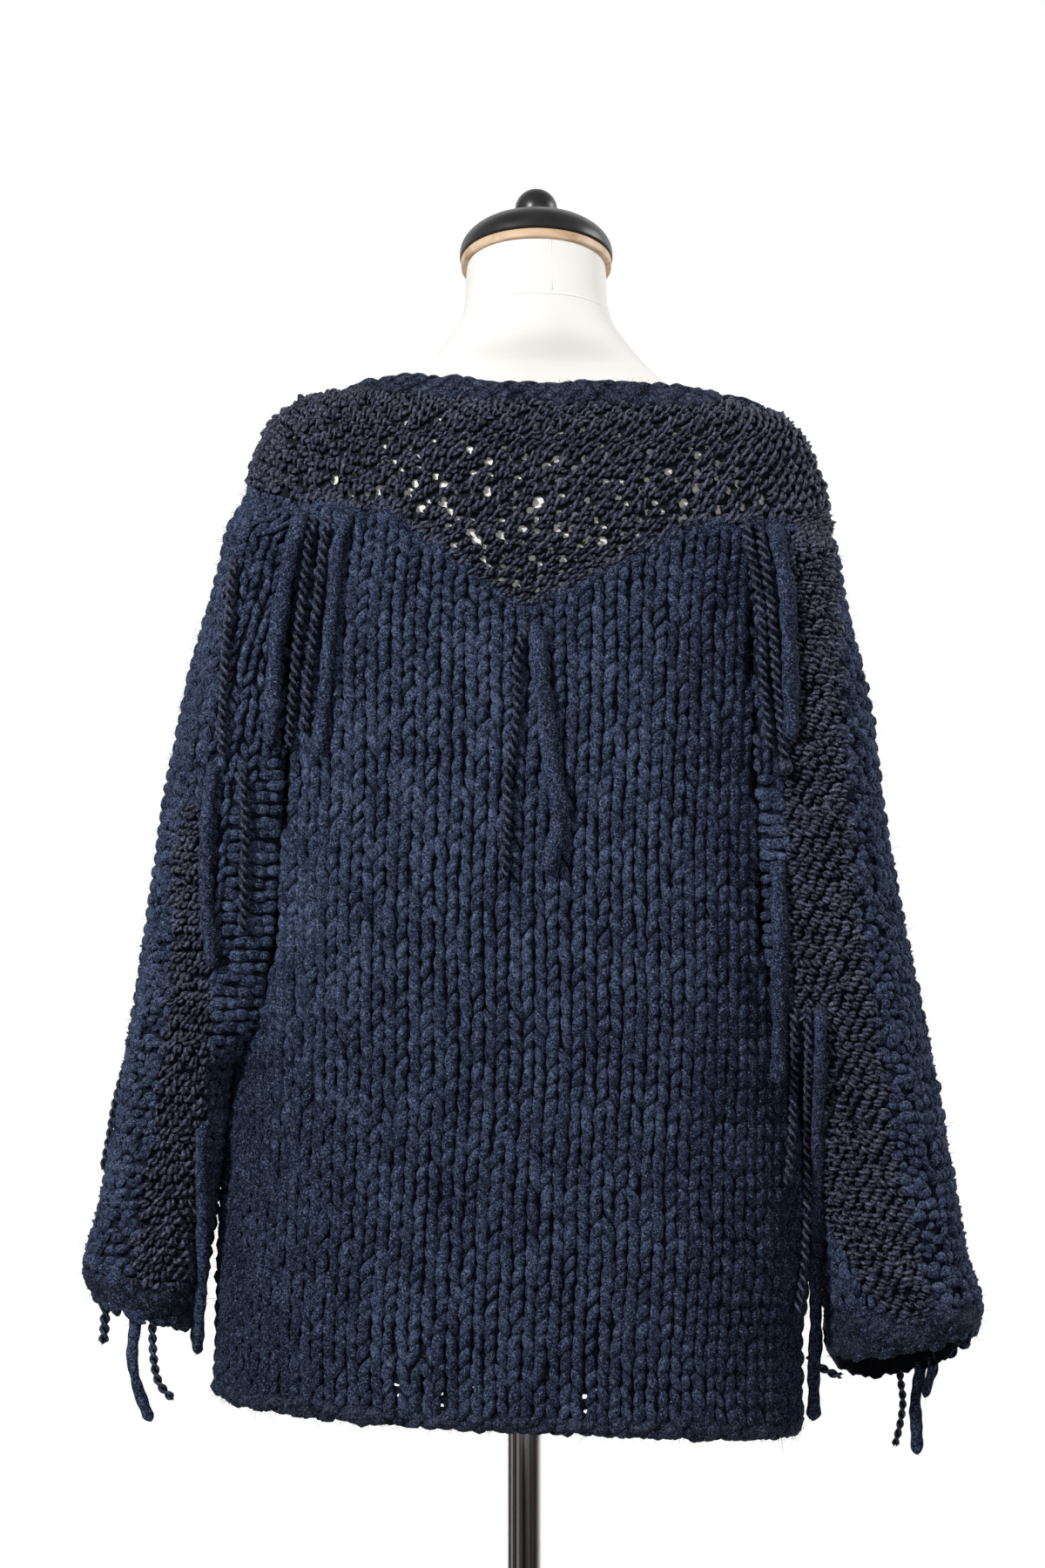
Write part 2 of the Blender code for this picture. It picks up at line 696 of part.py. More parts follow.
def neckband(cloth, normals, mat, collection):
    """The rolled band, standing on the yoke's top edge all round the neckline."""
    rings = []
    for column in range(0, len(LOOP), 2):
        edge = cloth.points[("loop", 0, column)]
        below = cloth.points[("loop", 1, column)]
        outward = normals[("loop", 0, column)]
        upward = (edge - below).normalized().lerp(Vector((0, 0, 1)), 0.5).normalized()
        outward = (outward - upward * outward.dot(upward)).normalized()
        lift = NECKBAND_HEIGHT / 2 + NECKBAND_SEAT
        centre = edge + upward * lift - outward * (WALL / 2)
        rings.append(band_ring(centre, outward, upward, NECKBAND_THICKNESS / 2, NECKBAND_HEIGHT / 2))
    return loft("neckband", rings, mat, collection, closed=True)


def hem_band(mat, collection):
    """The rolled cast-on edge all round under the hem."""
    rings = []
    top = LOWER_HEIGHTS[-1] * MM - SEAM_GAP * 1.5
    half_height = (top - HEM_HEIGHT * MM) / 2
    section = body_section(LOWER_HEIGHTS[-1])
    for column in range(BACK_COLUMNS + FRONT_COLUMNS):
        angle = body_angle(column)
        point = body_point(section, angle)
        ahead = body_point(section, angle + ANGLE_STEP) - body_point(section, angle - ANGLE_STEP)
        outward = Vector((ahead.y, -ahead.x, 0)).normalized()
        centre = point - outward * (WALL / 2)
        centre.z = point.z - SEAM_GAP * 1.5 - half_height
        rings.append(band_ring(centre, outward, Vector((0, 0, 1)), HEM_BAND_THICKNESS / 2, half_height))
    return loft("hem_band", rings, mat, collection, closed=True)


def torso_ring(line, angles):
    section = dict(zip(TORSO_COLUMNS, line))
    ring = []
    for angle in angles:
        x = section["half_width"] * signed_power(math.sin(angle), 2 / TORSO_POWER)
        y = -section["half_depth"] * signed_power(math.cos(angle), 2 / TORSO_POWER)
        z = section["height"] - y * math.tan(math.radians(section["lean"]))
        ring.append(Vector((section["centre_x"] + x, section["centre_y"] + y, z)) * MM)
    return ring


def torso(cloth, normals, mat, collection):
    """The body of the form. Its shoulders follow the inside of the yoke, which rests on them."""
    columns = range(0, len(LOOP), 2)
    turns = seam_angles(body_section(CAP_HEIGHT))
    angles = [loop_angle(*LOOP[column], turns) for column in columns]
    rings = [torso_ring(line, angles) for line in TORSO_BODY]
    for row in SEAT_ROWS:
        ring = []
        for column in columns:
            key = ("loop", row, column)
            ring.append(cloth.points[key] - normals[key] * (WALL + SEAT_GAP))
        rings.append(ring)
    neckline = []
    for column in columns:
        key = ("loop", 0, column)
        neckline.append(cloth.points[key] - normals[key] * NECKLINE_INSET)
    rings.append(neckline)
    rings += [torso_ring(line, angles) for line in TORSO_NECK]
    return loft("form_torso", rings, mat, collection)


def turned(name, profile, mat, collection, steps, location=(0, 0, 0), lean=0.0):
    """A profile of (radius, height), from the top down its outer side, turned round its own axis."""
    mesh = bpy.data.meshes.new(name)
    points = [(radius, 0.0, height) for radius, height in profile]
    mesh.from_pydata(points, [(i, i + 1) for i in range(len(points) - 1)], [])
    mesh.materials.append(mat)
    obj = bpy.data.objects.new(name, mesh)
    collection.objects.link(obj)
    screw = obj.modifiers.new("turn", "SCREW")
    screw.steps = steps
    screw.render_steps = steps
    screw.use_merge_vertices = True
    screw.merge_threshold = 0.00005
    screw.use_smooth_shade = True
    obj.location = location
    obj.rotation_euler = (-lean, 0.0, 0.0)
    return obj


def form_fittings(wood, black, chrome, collection):
    """Everything of the form apart from its torso, from the knob down to the base."""
    axis = Vector((0, math.sin(NECK_LEAN), math.cos(NECK_LEAN)))
    disc_at = NECK_TOP + axis * SEAM_GAP
    bevel = 1.5 * MM
    disc = ((0, NECK_DISC_HEIGHT), (NECK_DISC_RADIUS - bevel, NECK_DISC_HEIGHT),
            (NECK_DISC_RADIUS, NECK_DISC_HEIGHT - bevel), (NECK_DISC_RADIUS, bevel),
            (NECK_DISC_RADIUS - bevel, 0), (0, 0))
    turned("form_neck_disc", disc, wood, collection, 32, disc_at, NECK_LEAN)
    cap_at = disc_at + axis * (NECK_DISC_HEIGHT + SEAM_GAP)
    ball_centre = CAP_RIM_HEIGHT + CAP_DOME_HEIGHT + KNOB_LIFT
    dome_top = math.asin((KNOB_NECK_RADIUS / CAP_RADIUS) ** (1 / CAP_FULLNESS))
    knob_bottom = -math.acos(KNOB_NECK_RADIUS / KNOB_RADIUS)
    cap = []
    for i in range(9):
        turn = math.pi / 2 + (knob_bottom - math.pi / 2) * i / 8
        radius = 0.0 if i == 0 else KNOB_RADIUS * math.cos(turn)
        cap.append((radius, ball_centre + KNOB_RADIUS * math.sin(turn)))
    for i in range(7):
        turn = dome_top + (math.pi / 2 - dome_top) * i / 6
        radius = CAP_RADIUS * math.sin(turn) ** CAP_FULLNESS
        cap.append((radius, CAP_RIM_HEIGHT + CAP_DOME_HEIGHT * math.cos(turn)))
    cap += [(CAP_RADIUS, 0), (0, 0)]
    turned("form_cap", cap, black, collection, 28, cap_at, NECK_LEAN)
    plate = []
    for height in (PLATE_BOTTOM, PLATE_BOTTOM + PLATE_THICKNESS):
        ring = []
        for i in range(40):
            angle = math.tau * i / 40
            x = PLATE_HALF_WIDTH * signed_power(math.cos(angle), 2 / TORSO_POWER)
            y = PLATE_HALF_DEPTH * signed_power(math.sin(angle), 2 / TORSO_POWER)
            ring.append(Vector((x, y, height)))
        plate.append(ring)
    loft("form_plate", plate, wood, collection)
    pole_bottom = SOCKET_FLOOR + SEAM_GAP
    pole_top = PLATE_BOTTOM - SEAM_GAP
    pole = ((0, pole_top), (POLE_RADIUS, pole_top), (POLE_RADIUS, pole_bottom), (0, pole_bottom))
    turned("stand_pole", pole, chrome, collection, 24)
    hole = POLE_RADIUS + SEAM_GAP
    base = ((0, SOCKET_FLOOR), (hole, SOCKET_FLOOR), (hole, SOCKET_TOP), (SOCKET_RADIUS - 3 * MM, SOCKET_TOP),
            (SOCKET_RADIUS, SOCKET_TOP - 3 * MM), (SOCKET_RADIUS, BASE_CROWN + 6 * MM),
            (SOCKET_RADIUS + 6 * MM, BASE_CROWN), (BASE_RADIUS * 0.6, BASE_CROWN - 1.5 * MM),
            (BASE_RADIUS - 3 * MM, BASE_EDGE), (BASE_RADIUS, BASE_EDGE - 3 * MM), (BASE_RADIUS, 0), (0, 0))
    turned("stand_base", base, chrome, collection, 30)


def smooth_route(route, steps):
    """Points on a Catmull-Rom curve through a route."""
    points = [2 * route[0] - route[1], *route, 2 * route[-1] - route[-2]]
    result = []
    for i in range(1, len(points) - 2):
        a, b, c, d = points[i - 1:i + 3]
        for k in range(steps):
            t = k / steps
            result.append(0.5 * (2 * b + (c - a) * t + (2 * a - 5 * b + 4 * c - d) * t * t
                                 + (3 * b - a - 3 * c + d) * t ** 3))
    result.append(route[-1])
    return result


def strand_group(name, strands, mat, collection):
    """Strands hanging from one knot, a bar with a cell for each strand that opens into the strand."""
    points, faces = [], []
    strands = sorted(strands, key=lambda strand: strand[1][0].x)
    depth = max(half for half, _ in strands)
    marks = []
    for half, route in strands:
        root = route[0]
        face_y = root.y + half
        marks.append((root.x - half, face_y, root.z))
        marks.append((root.x + half, face_y, root.z))
    for x, face_y, z in marks:
        points += [(x, face_y - 2 * depth, z + KNOT_HEIGHT), (x, face_y, z + KNOT_HEIGHT),
                   (x, face_y, z), (x, face_y - 2 * depth, z)]
    for i in range(len(marks) - 1):
        here, there = 4 * i, 4 * (i + 1)
        sides = ((0, 1), (1, 2), (3, 0)) if i % 2 == 0 else ((0, 1), (1, 2), (2, 3), (3, 0))
        for a, b in sides:
            faces.append([here + a, here + b, there + b, there + a])
    last = 4 * (len(marks) - 1)
    faces.append([0, 1, 2, 3])
    faces.append([last + 3, last + 2, last + 1, last])
    for number, (half, route) in enumerate(strands):
        here, there = 8 * number, 8 * number + 4
        ring = [here + 3, here + 2, there + 2, there + 3]
        for step in range(1, len(route)):
            ahead = route[min(step + 1, len(route) - 1)] - route[step - 1]
            ahead.normalize()
            across = Vector((1, 0, 0)) - ahead * ahead.x
            across.normalize()
            outward = ahead.cross(across)
            if outward.y > 0:
                outward = -outward
            width = half * (0.7 if step == len(route) - 1 else 1.0)
            start = len(points)
            centre = route[step]
            for u, v in ((-1, 1), (-1, -1), (1, -1), (1, 1)):
                points.append(centre + across * (u * width) + outward * (v * width))
            after = list(range(start, start + 4))
            for k in range(4):
                faces.append([ring[k], ring[(k + 1) % 4], after[(k + 1) % 4], after[k]])
            ring = after
        faces.append(ring)
    return add_mesh(name, points, faces, mat, collection)


def surface_tree(cloth):
    """The cloth's outer surface, for laying strands on it. A bent cell counts along both of its diagonals."""
    keys = list(cloth.points)
    index = {key: i for i, key in enumerate(keys)}
    triangles = []
    for cells in cloth.cells.values():
        for keys_of in cells.values():
            a, b, c, d = [index[key] for key in keys_of]
            triangles += [(a, b, c), (a, c, d), (a, b, d), (b, c, d)]
    return BVHTree.FromPolygons([cloth.points[key] for key in keys], triangles)


def back_surface(tree, x, z):
    """How far back the sweater reaches at x and z, or None beside it."""
    hit = tree.ray_cast(Vector((x, -1.0, z)), Vector((0, 1, 0)))[0]
    return hit.y if hit else None


def draped_route(tree, half, route):
    """The route laid on the sweater's back, clear of it over the whole width, and straight past an edge."""
    flat = [Vector((x * MM, 0.0, z * MM)) for x, z in route]
    laid = []
    reach = half + STRAND_CLEARANCE
    for point in smooth_route(flat, 2):
        spots = [back_surface(tree, point.x + u * reach, point.z + v * reach)
                 for u in (-1, -0.5, 0, 0.5, 1) for v in (-1, 0, 1)]
        hits = [spot for spot in spots if spot is not None]
        y = min(hits) - half - STRAND_CLEARANCE if hits else laid[-1].y
        if laid:
            y = min(y, laid[-1].y + STRAND_FOLLOW)
        laid.append(Vector((point.x, y, point.z)))
    for step in range(1, len(laid) - 1):
        between = (laid[step - 1].y + laid[step + 1].y) / 2
        laid[step].y = min(laid[step].y, between)
    for first, second in zip(laid, laid[1:]):
        depth = max(0.0, sunk_depth(tree, first, second, half, STRAND_CLEARANCE / 2))
        first.y -= depth
        second.y -= depth
    return laid


def sunk_depth(tree, first, second, half, clearance):
    """How far a straight stretch between two points has to move back to be just clear of the sweater."""
    depths = [-STRAND_FOLLOW]
    for share in (0, 0.2, 0.4, 0.6, 0.8, 1):
        middle = first.lerp(second, share)
        for u in (-1, 0, 1):
            spot = back_surface(tree, middle.x + u * half, middle.z)
            if spot is not None:
                depths.append(middle.y + half + clearance - spot)
    return max(depths)


def lift_knot(tree, strands):
    """Moves the strands' first points together, until the knot that joins them is clear of the sweater."""
    strands.sort(key=lambda strand: strand[1][0].x)
    marks = []
    for half, route in strands:
        for side in (-half, half):
            marks.append(route[0] + Vector((side, half, 0)))
    depths = []
    for first, second in zip(marks, marks[1:]):
        for rise in (0.0, KNOT_HEIGHT / 2, KNOT_HEIGHT):
            up = Vector((0, 0, rise))
            depths.append(sunk_depth(tree, first + up, second + up, 0.0, KNOT_CLEARANCE))
    for _, route in strands:
        route[0].y -= max(depths)


def cuff_root(side, column):
    """A point under the middle of the cuff's lower edge."""
    edge = sleeve_point(side, CUFF_HEIGHTS[-1], column)
    ahead = sleeve_point(side, CUFF_HEIGHTS[-1], column + COLUMN_STEP)
    behind = sleeve_point(side, CUFF_HEIGHTS[-1], column - COLUMN_STEP)
    across = ahead - behind
    outward = Vector((across.y, -across.x, 0)).normalized()
    if side == "left":
        outward = -outward
    return edge - outward * (WALL / 2)


def lowest_edge(cloth, normals, side, columns):
    """The lowest point of a cuff's edge over some of its columns, which need not be whole."""
    row = len(SLEEVE_HEIGHTS) + len(CUFF_HEIGHTS) - 2
    heights = []
    for column in columns:
        low = math.floor(column)
        share = column - low
        ends = []
        for key in ((side, row, low), (side, row, low + 1)):
            ends.append(min(cloth.points[key].z, cloth.points[key].z - normals[key].z * WALL))
        heights.append(ends[0] * (1 - share) + ends[1] * share)
    return min(heights)


def loose_ends(cloth, normals, navy, collection):
    tree = surface_tree(cloth)
    for name, strands in DRAPED_GROUPS.items():
        group = []
        for half, route in strands:
            group.append((half * MM, draped_route(tree, half * MM, route)))
        lift_knot(tree, group)
        strand_group(name, group, navy, collection)
    for name, (side, strands) in CUFF_GROUPS.items():
        columns = [column + reach for _, column, _ in strands for reach in (-0.2, 0.0, 0.2)]
        edge = lowest_edge(cloth, normals, side, columns)
        group = []
        for half, column, steps in strands:
            root = cuff_root(side, column)
            root.z = edge - SEAM_GAP - KNOT_HEIGHT
            points = [root + Vector(step) * MM for step in steps]
            group.append((half * MM, smooth_route(points, 2)))
        strand_group(name, group, navy, collection)
    half, heights = EDGE_END
    out = Vector((-half * MM - KNOT_CLEARANCE, 0, 0))
    points = [sleeve_point("left", height, SLEEVE_COLUMNS / 2) + out for height in heights]
    strand_group("end_left_edge", [(half * MM, smooth_route(points, 2))], navy, collection)


def build():
    clear_scene()
    collection = new_collection("chunky_knit_sweater")
    navy = material("navy_roving", NAVY, 0.95)
    charcoal = material("charcoal_twist", CHARCOAL, 0.8)
    cream = material("cream_jersey", CREAM, 0.9)
    wood = material("pale_wood", WOOD, 0.5)
    black = material("black_lacquer", BLACK, 0.3)
    chrome = material("chrome_metal", CHROME, 0.12, 1.0)
    cloth = make_cloth()
    normals = cloth.normals()
    for piece in ("sweater_back", "sweater_front", "sleeve_left", "sleeve_right"):
        panel(cloth, normals, piece, navy, collection)
    for piece in ("yoke_front", "sleeve_left_moss", "sleeve_right_moss"):
        panel(cloth, normals, piece, charcoal, collection)
    panel(cloth, normals, "yoke_back", charcoal, collection, gaps=yoke_gaps(cloth))
    for piece in ("cuff_left", "cuff_right"):
        panel(cloth, normals, piece, navy, collection)
    neckband(cloth, normals, navy, collection)
    hem_band(navy, collection)
    loose_ends(cloth, normals, navy, collection)
    torso(cloth, normals, cream, collection)
    form_fittings(wood, black, chrome, collection)


build()
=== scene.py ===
"""The looks of the chunky knit sweater on its dress form. Metres, +Z up, in the same frame as the CAD."""

import math

import bmesh
import bpy
import numpy as np
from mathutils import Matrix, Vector
from mathutils.bvhtree import BVHTree


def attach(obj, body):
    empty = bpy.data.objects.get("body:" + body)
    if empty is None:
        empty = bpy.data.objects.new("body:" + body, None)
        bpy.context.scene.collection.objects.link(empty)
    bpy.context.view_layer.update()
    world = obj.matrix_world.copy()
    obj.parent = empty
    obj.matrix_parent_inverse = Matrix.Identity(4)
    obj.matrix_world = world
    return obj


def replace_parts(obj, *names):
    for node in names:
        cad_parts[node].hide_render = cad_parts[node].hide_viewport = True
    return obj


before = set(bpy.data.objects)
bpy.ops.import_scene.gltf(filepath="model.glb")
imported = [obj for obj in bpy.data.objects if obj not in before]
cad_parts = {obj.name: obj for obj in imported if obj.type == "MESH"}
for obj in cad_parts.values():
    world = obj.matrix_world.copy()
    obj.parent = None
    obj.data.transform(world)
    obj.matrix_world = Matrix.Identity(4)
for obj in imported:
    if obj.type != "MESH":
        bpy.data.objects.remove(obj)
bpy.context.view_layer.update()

MM = 0.001
TILT = -0.04
BODY_POWER = 2.3
TORSO_POWER = 2.1
SIDES = ("left", "right")
CAMERA = (-0.0013, -3.0, 1.13)
FOCAL_PX = 4615
MIDDLE_PX = (600, 900)

# The solids' sections in millimetres, moved by up to 8 mm near the hem and the cuffs to follow the photo.
# A place on the cloth is (u, v): u is the distance round it, and v the distance down from the neckline.
YOKE_RUN = 110.0
YOKE_TIP_X = 2.0
YOKE_TIP_DEPTH = 82.0
YOKE_TIP_REACH = (98.0, 116.0)
SLEEVE_BLEND = 40.0
NECK_HEIGHT = 1419.0
CAP_HEIGHT = 1346.0
UNDERARM_HEIGHT = 915.0
HEM_TOP = 674.0
CUFF_TOP = 757.0
CUFF_BOTTOM = 724.0
# Height, left, right, back, front, the drops behind, in front, left and right, and the left and right seam.
BODY = (
    (NECK_HEIGHT, -113, 150, 68, 62, 10, 38, 0, 0, -100, 137),
    (1414, -146, 180, 82, 78, 20, 45, 0, 0, -124, 150),
    (1402, -175, 200, 93, 91, 29, 48, 0, 0, -147, 162),
    (1378, -193, 214, 103, 104, 31, 42, 0, 0, -160, 164),
    (1346, -204, 223, 111, 116, 26, 28, 0, 0, -168, 164),
    (1280, -203, 212, 116, 127, 12, 12, 0, 0, -169, 164),
    (1180, -202, 205, 119, 134, 0, 0, 0, 0, -171, 166),
    (1080, -204, 202, 120, 132, 0, 0, 0, 0, -176, 170),
    (1000, -206, 202, 121, 129, 0, 0, 0, 0, -183, 177),
    (950, -209, 204, 122, 128, 0, 0, 0, 0, -195, 190),
    (915, -213, 206, 122, 127, 0, 0, 0, 0, -213, 206),
    (860, -220, 209, 123, 127, 0, 0, 0, 0, -220, 209),
    (790, -225, 210, 124, 126, -1, -1, -1, 2, -225, 210),
    (720, -227, 203, 125, 125, -3, -2, -3, 4, -227, 203),
    (660, -229, 205, 125, 124, -5, -3, -6, 6, -229, 205),
)
# Height, inner, outer, back, front, the outer side's lift and the front's drop.
SLEEVES = {
    "left": (
        (1346, -140, -213, 84, 90, 0, 0),
        (1280, -140, -226, 86, 92, 0, 0),
        (1200, -142, -248, 88, 94, 0, 0),
        (1120, -146, -264, 86, 90, 0, 0),
        (1040, -155, -276, 82, 86, 0, 0),
        (970, -172, -286, 77, 80, 0, 0),
        (915, -213.7, -295, 70, 72, 0, 0),
        (870, -220.5, -302, 66, 68, 0, 0),
        (820, -229, -311.5, 63, 65, 0, 2),
        (785, -235, -319.5, 62, 64, 1, 3),
        (757, -240, -326, 62, 64, 4, 4),
        (724, -245, -316, 60, 62, 8, 6),
    ),
    "right": (
        (1346, 140, 228, 84, 90, 0, 0),
        (1280, 138, 236, 86, 92, 0, 0),
        (1200, 140, 255, 88, 94, 0, 0),
        (1120, 146, 266, 86, 90, 0, 0),
        (1040, 155, 280, 82, 86, 0, 0),
        (970, 172, 295, 77, 80, 0, 0),
        (915, 206.8, 306, 70, 72, 0, 0),
        (870, 213, 314, 68, 68, 0, 0),
        (820, 219, 323, 66, 66, 0, 6),
        (785, 223, 329.5, 65, 66, 2, 14),
        (757, 226, 338, 64, 66, 5, 22),
        (724, 230, 335, 62, 64, 9, 32),
    ),
}
# Height, centre x, centre y, half width, half depth, lean in degrees.
TORSO_BODY = (
    (716.3, 0, 0, 148, 98, 0),
    (770, 0, 0, 166, 110, 0),
    (860, 0, 1, 160, 105, 0),
    (970, 0, 2, 132, 92, 0),
    (1080, 0, 5, 142, 100, 0),
    (1180, 0, 9, 158, 112, 0),
)
TORSO_NECK = (
    (1438, 11, 2, 84, 40, 4),
    (1454, 9, 6, 71, 50, 9),
    (1472, 9, 10, 58, 52, 13),
    (1516.3, 9, 20, 52, 51, 18),
)

# The stitches' sizes.
WALE = 18.0
ROW = 12.2
SLEEVE_WALE = 15.0
SLEEVE_ROW = 10.4
TWIST = 3.3
ROVING = 6.0
# Where the core walls' outer and inner faces lie, measured out of the cloth's middle surface.
KNIT_WALL = (-2.4, -7.6)
FOOT_WALL = (-2.4, -5.4)
SLEEVE_WALL = (-2.2, -7.6)
OPEN_YOKE_WALL = (-2.0, -3.2)
PLAIN_YOKE_WALL = (-1.6, -7.6)

random = np.random.default_rng(11)


# Surfaces.

def hermite(low, high, slope_low, slope_high, span, t):
    """A value on a smooth curve between two values, at t from 0 to 1."""
    return ((2 * t ** 3 - 3 * t ** 2 + 1) * low + (t ** 3 - 2 * t ** 2 + t) * span * slope_low
            + (3 * t ** 2 - 2 * t ** 3) * high + (t ** 3 - t ** 2) * span * slope_high)


def read_table(rows, heights):
    """The table's values at some heights, on smooth curves through its rows, from the highest down."""
    data = np.array(rows, dtype=float)
    knots = data[:, 0]
    at = np.clip(heights, knots[-1], knots[0])
    slopes = np.gradient(data, knots, axis=0)
    low = np.clip(np.searchsorted(-knots, -at, side="right") - 1, 0, len(knots) - 2)
    span = (knots[low + 1] - knots[low])[..., None]
    t = (at - knots[low])[..., None] / span
    return hermite(data[low], data[low + 1], slopes[low], slopes[low + 1], span, t)


def circle(count):
    """Even angles round a full turn."""
    return np.linspace(0, 2 * np.pi, count, endpoint=False)


def signed_power(values, power):
    return np.sign(values) * np.abs(values) ** power


def ease(t):
    t = np.clip(t, 0.0, 1.0)
    return t * t * (3 - 2 * t)


def between(values, start, stop):
    """0 at start, 1 at stop and past it, smooth in between."""
    return ease((values - start) / (stop - start))


def unit(vectors):
    return vectors / (np.linalg.norm(vectors, axis=-1, keepdims=True) + 1e-12)


def run_along(points):
    """The distance along a line of points."""
    return np.concatenate([[0], np.cumsum(np.linalg.norm(np.diff(points, axis=0), axis=1))])


def resampled(points, arc, at):
    return np.stack([np.interp(at, arc, points[:, k]) for k in range(3)], axis=1)


def facing_out(out, points):
    """The directions, turned round if they point at the upright axis."""
    return -out if np.mean(np.sum(out[:, :2] * points[:, :2], axis=1)) < 0 else out


def body_points(heights, angles):
    """Points on the body's outline in millimetres. Angle 0 is the back, and 90 degrees the right."""
    table = np.moveaxis(read_table(BODY, heights), -1, 0)
    left, right, back, front, drop_back, drop_front, drop_left, drop_right = table[1:9]
    across = signed_power(np.sin(angles), 2 / BODY_POWER)
    along = signed_power(np.cos(angles), 2 / BODY_POWER)
    x = (left + right) / 2 + (right - left) / 2 * across
    y = -np.where(along > 0, back, front) * along
    z = heights - np.where(along > 0, drop_back, drop_front) * np.abs(np.cos(angles)) + TILT * x
    z = z - np.where(x > 0, drop_right, drop_left) * np.sin(angles) ** 2
    return np.stack([x, y, z], axis=-1)


def body_ring(v, angles):
    return body_points(np.full(len(angles), float(height_at(v))), angles)


def seam_turns(heights):
    """The angles at which the left and the right armhole seam cut the body's outline at the back."""
    table = read_table(BODY, heights)
    centre = (table[..., 1] + table[..., 2]) / 2
    half = (table[..., 2] - table[..., 1]) / 2
    turns = []
    for column in (9, 10):
        reach = np.minimum(1.0, np.abs(table[..., column] - centre) / half)
        reach = np.where(heights <= UNDERARM_HEIGHT, 1.0, reach)
        turns.append(np.arcsin(reach ** (BODY_POWER / 2)))
    return turns


def tube_points(side, heights, fractions):
    inner, outer, back, front, lift, drop = np.moveaxis(read_table(SLEEVES[side], heights), -1, 0)[1:]
    centre = (inner + outer) / 2
    half = (outer - inner) / 2
    seam = read_table(BODY, heights)[..., 9 if side == "left" else 10]
    reach = np.clip((centre - seam) / half, 0.0, 1.0)
    start = np.where(heights > UNDERARM_HEIGHT, np.arccos(reach ** (BODY_POWER / 2)), 0.0)
    angle = start + (2 * np.pi - 2 * start) * fractions
    inward = signed_power(np.cos(angle), 2 / BODY_POWER)
    backward = signed_power(np.sin(angle), 2 / BODY_POWER)
    x = centre - half * inward
    y = -np.where(backward > 0, back, front) * backward
    z = heights + TILT * x - (lift * inward + drop * np.maximum(0.0, -backward))
    return np.stack([x, y, z], axis=-1)


def sleeve_points(side, heights, fractions):
    """Points on a sleeve, from its back seam at fraction 0 round the outside to its front seam at 1."""
    tube = tube_points(side, heights, fractions)
    turn = seam_turns(heights)[SIDES.index(side)]
    sign = -1 if side == "left" else 1
    on_body = body_points(heights, sign * (turn + (np.pi - 2 * turn) * fractions))
    back_end = body_points(heights, sign * turn) - tube_points(side, heights, fractions * 0)
    front_end = body_points(heights, sign * (np.pi - turn)) - tube_points(side, heights, fractions * 0 + 1)
    bent = tube + back_end * ease(1 - 4 * fractions)[..., None]
    bent = bent + front_end * ease(4 * fractions - 3)[..., None]
    bent = on_body + (bent - on_body) * ease((CAP_HEIGHT - heights) / SLEEVE_BLEND)[..., None]
    return np.where((heights <= UNDERARM_HEIGHT)[..., None], tube, bent)


def height_at(v):
    """The nominal height at a distance down from the neckline."""
    return np.interp(v, [0, 27.5, 55, 82.5, YOKE_RUN, YOKE_RUN + 1000],
                     [NECK_HEIGHT, 1414, 1402, 1378, CAP_HEIGHT, CAP_HEIGHT - 1000])


def v_at(height):
    return YOKE_RUN + CAP_HEIGHT - height


def yoke_edge(x):
    """How far down from the neckline the back yoke reaches at x."""
    reach = np.where(x < YOKE_TIP_X, *YOKE_TIP_REACH)
    return YOKE_RUN + YOKE_TIP_DEPTH * np.maximum(0.0, 1 - np.abs(x - YOKE_TIP_X) / reach)


class Surface:
    """A smooth surface over an even grid of u and v, in millimetres, with its outward normals."""

    def __init__(self, us, vs, points, normals=None):
        self.us, self.vs, self.points = us, vs, points
        if normals is None:
            down, along = np.gradient(points, axis=(0, 1))
            normals = np.cross(along, down)
        self.normals = unit(normals)

    def blend(self, values, u, v):
        i = np.clip((v - self.vs[0]) / (self.vs[1] - self.vs[0]), 0, len(self.vs) - 1.001)
        j = np.clip((u - self.us[0]) / (self.us[1] - self.us[0]), 0, len(self.us) - 1.001)
        s, t = (i % 1)[..., None], (j % 1)[..., None]
        i, j = i.astype(int), j.astype(int)
        top = values[i, j] * (1 - t) + values[i, j + 1] * t
        low = values[i + 1, j] * (1 - t) + values[i + 1, j + 1] * t
        return top * (1 - s) + low * s

    def at(self, u, v, out=0.0):
        """Points at u and v, moved out of the surface, in metres."""
        u, v = np.broadcast_arrays(np.asarray(u, float), np.asarray(v, float))
        normal = unit(self.blend(self.normals, u, v))
        return (self.blend(self.points, u, v) + normal * np.asarray(out)[..., None]) * MM


def arc_surface(make, params, zero, us, vs, middle_x):
    """A surface whose u is the run round each section from the parameter zero. It faces away from middle_x."""
    rows, ends = [], []
    for v in vs:
        arc = run_along(make(np.full(len(params), height_at(v)), params))
        arc -= np.interp(zero, params, arc)
        rows.append(make(np.full(len(us), height_at(v)), np.interp(us, arc, params)))
        ends.append((arc[0], arc[-1]))
    surface = Surface(us, vs, np.array(rows))
    surface.low_u, surface.high_u = np.transpose(ends)
    offset = surface.points[..., :2] - [middle_x, 0.0]
    if np.mean(np.sum(surface.normals[..., :2] * offset, axis=-1)) < 0:
        surface.normals = -surface.normals
    return surface


def body_surface(start, stop, zero):
    params = np.linspace(np.pi * start, np.pi * stop, 541)
    us, vs = np.arange(-330.0, 330.1, 3.0), np.arange(0.0, v_at(652), 4.0)
    return arc_surface(body_points, params, zero, us, vs, 0.0)


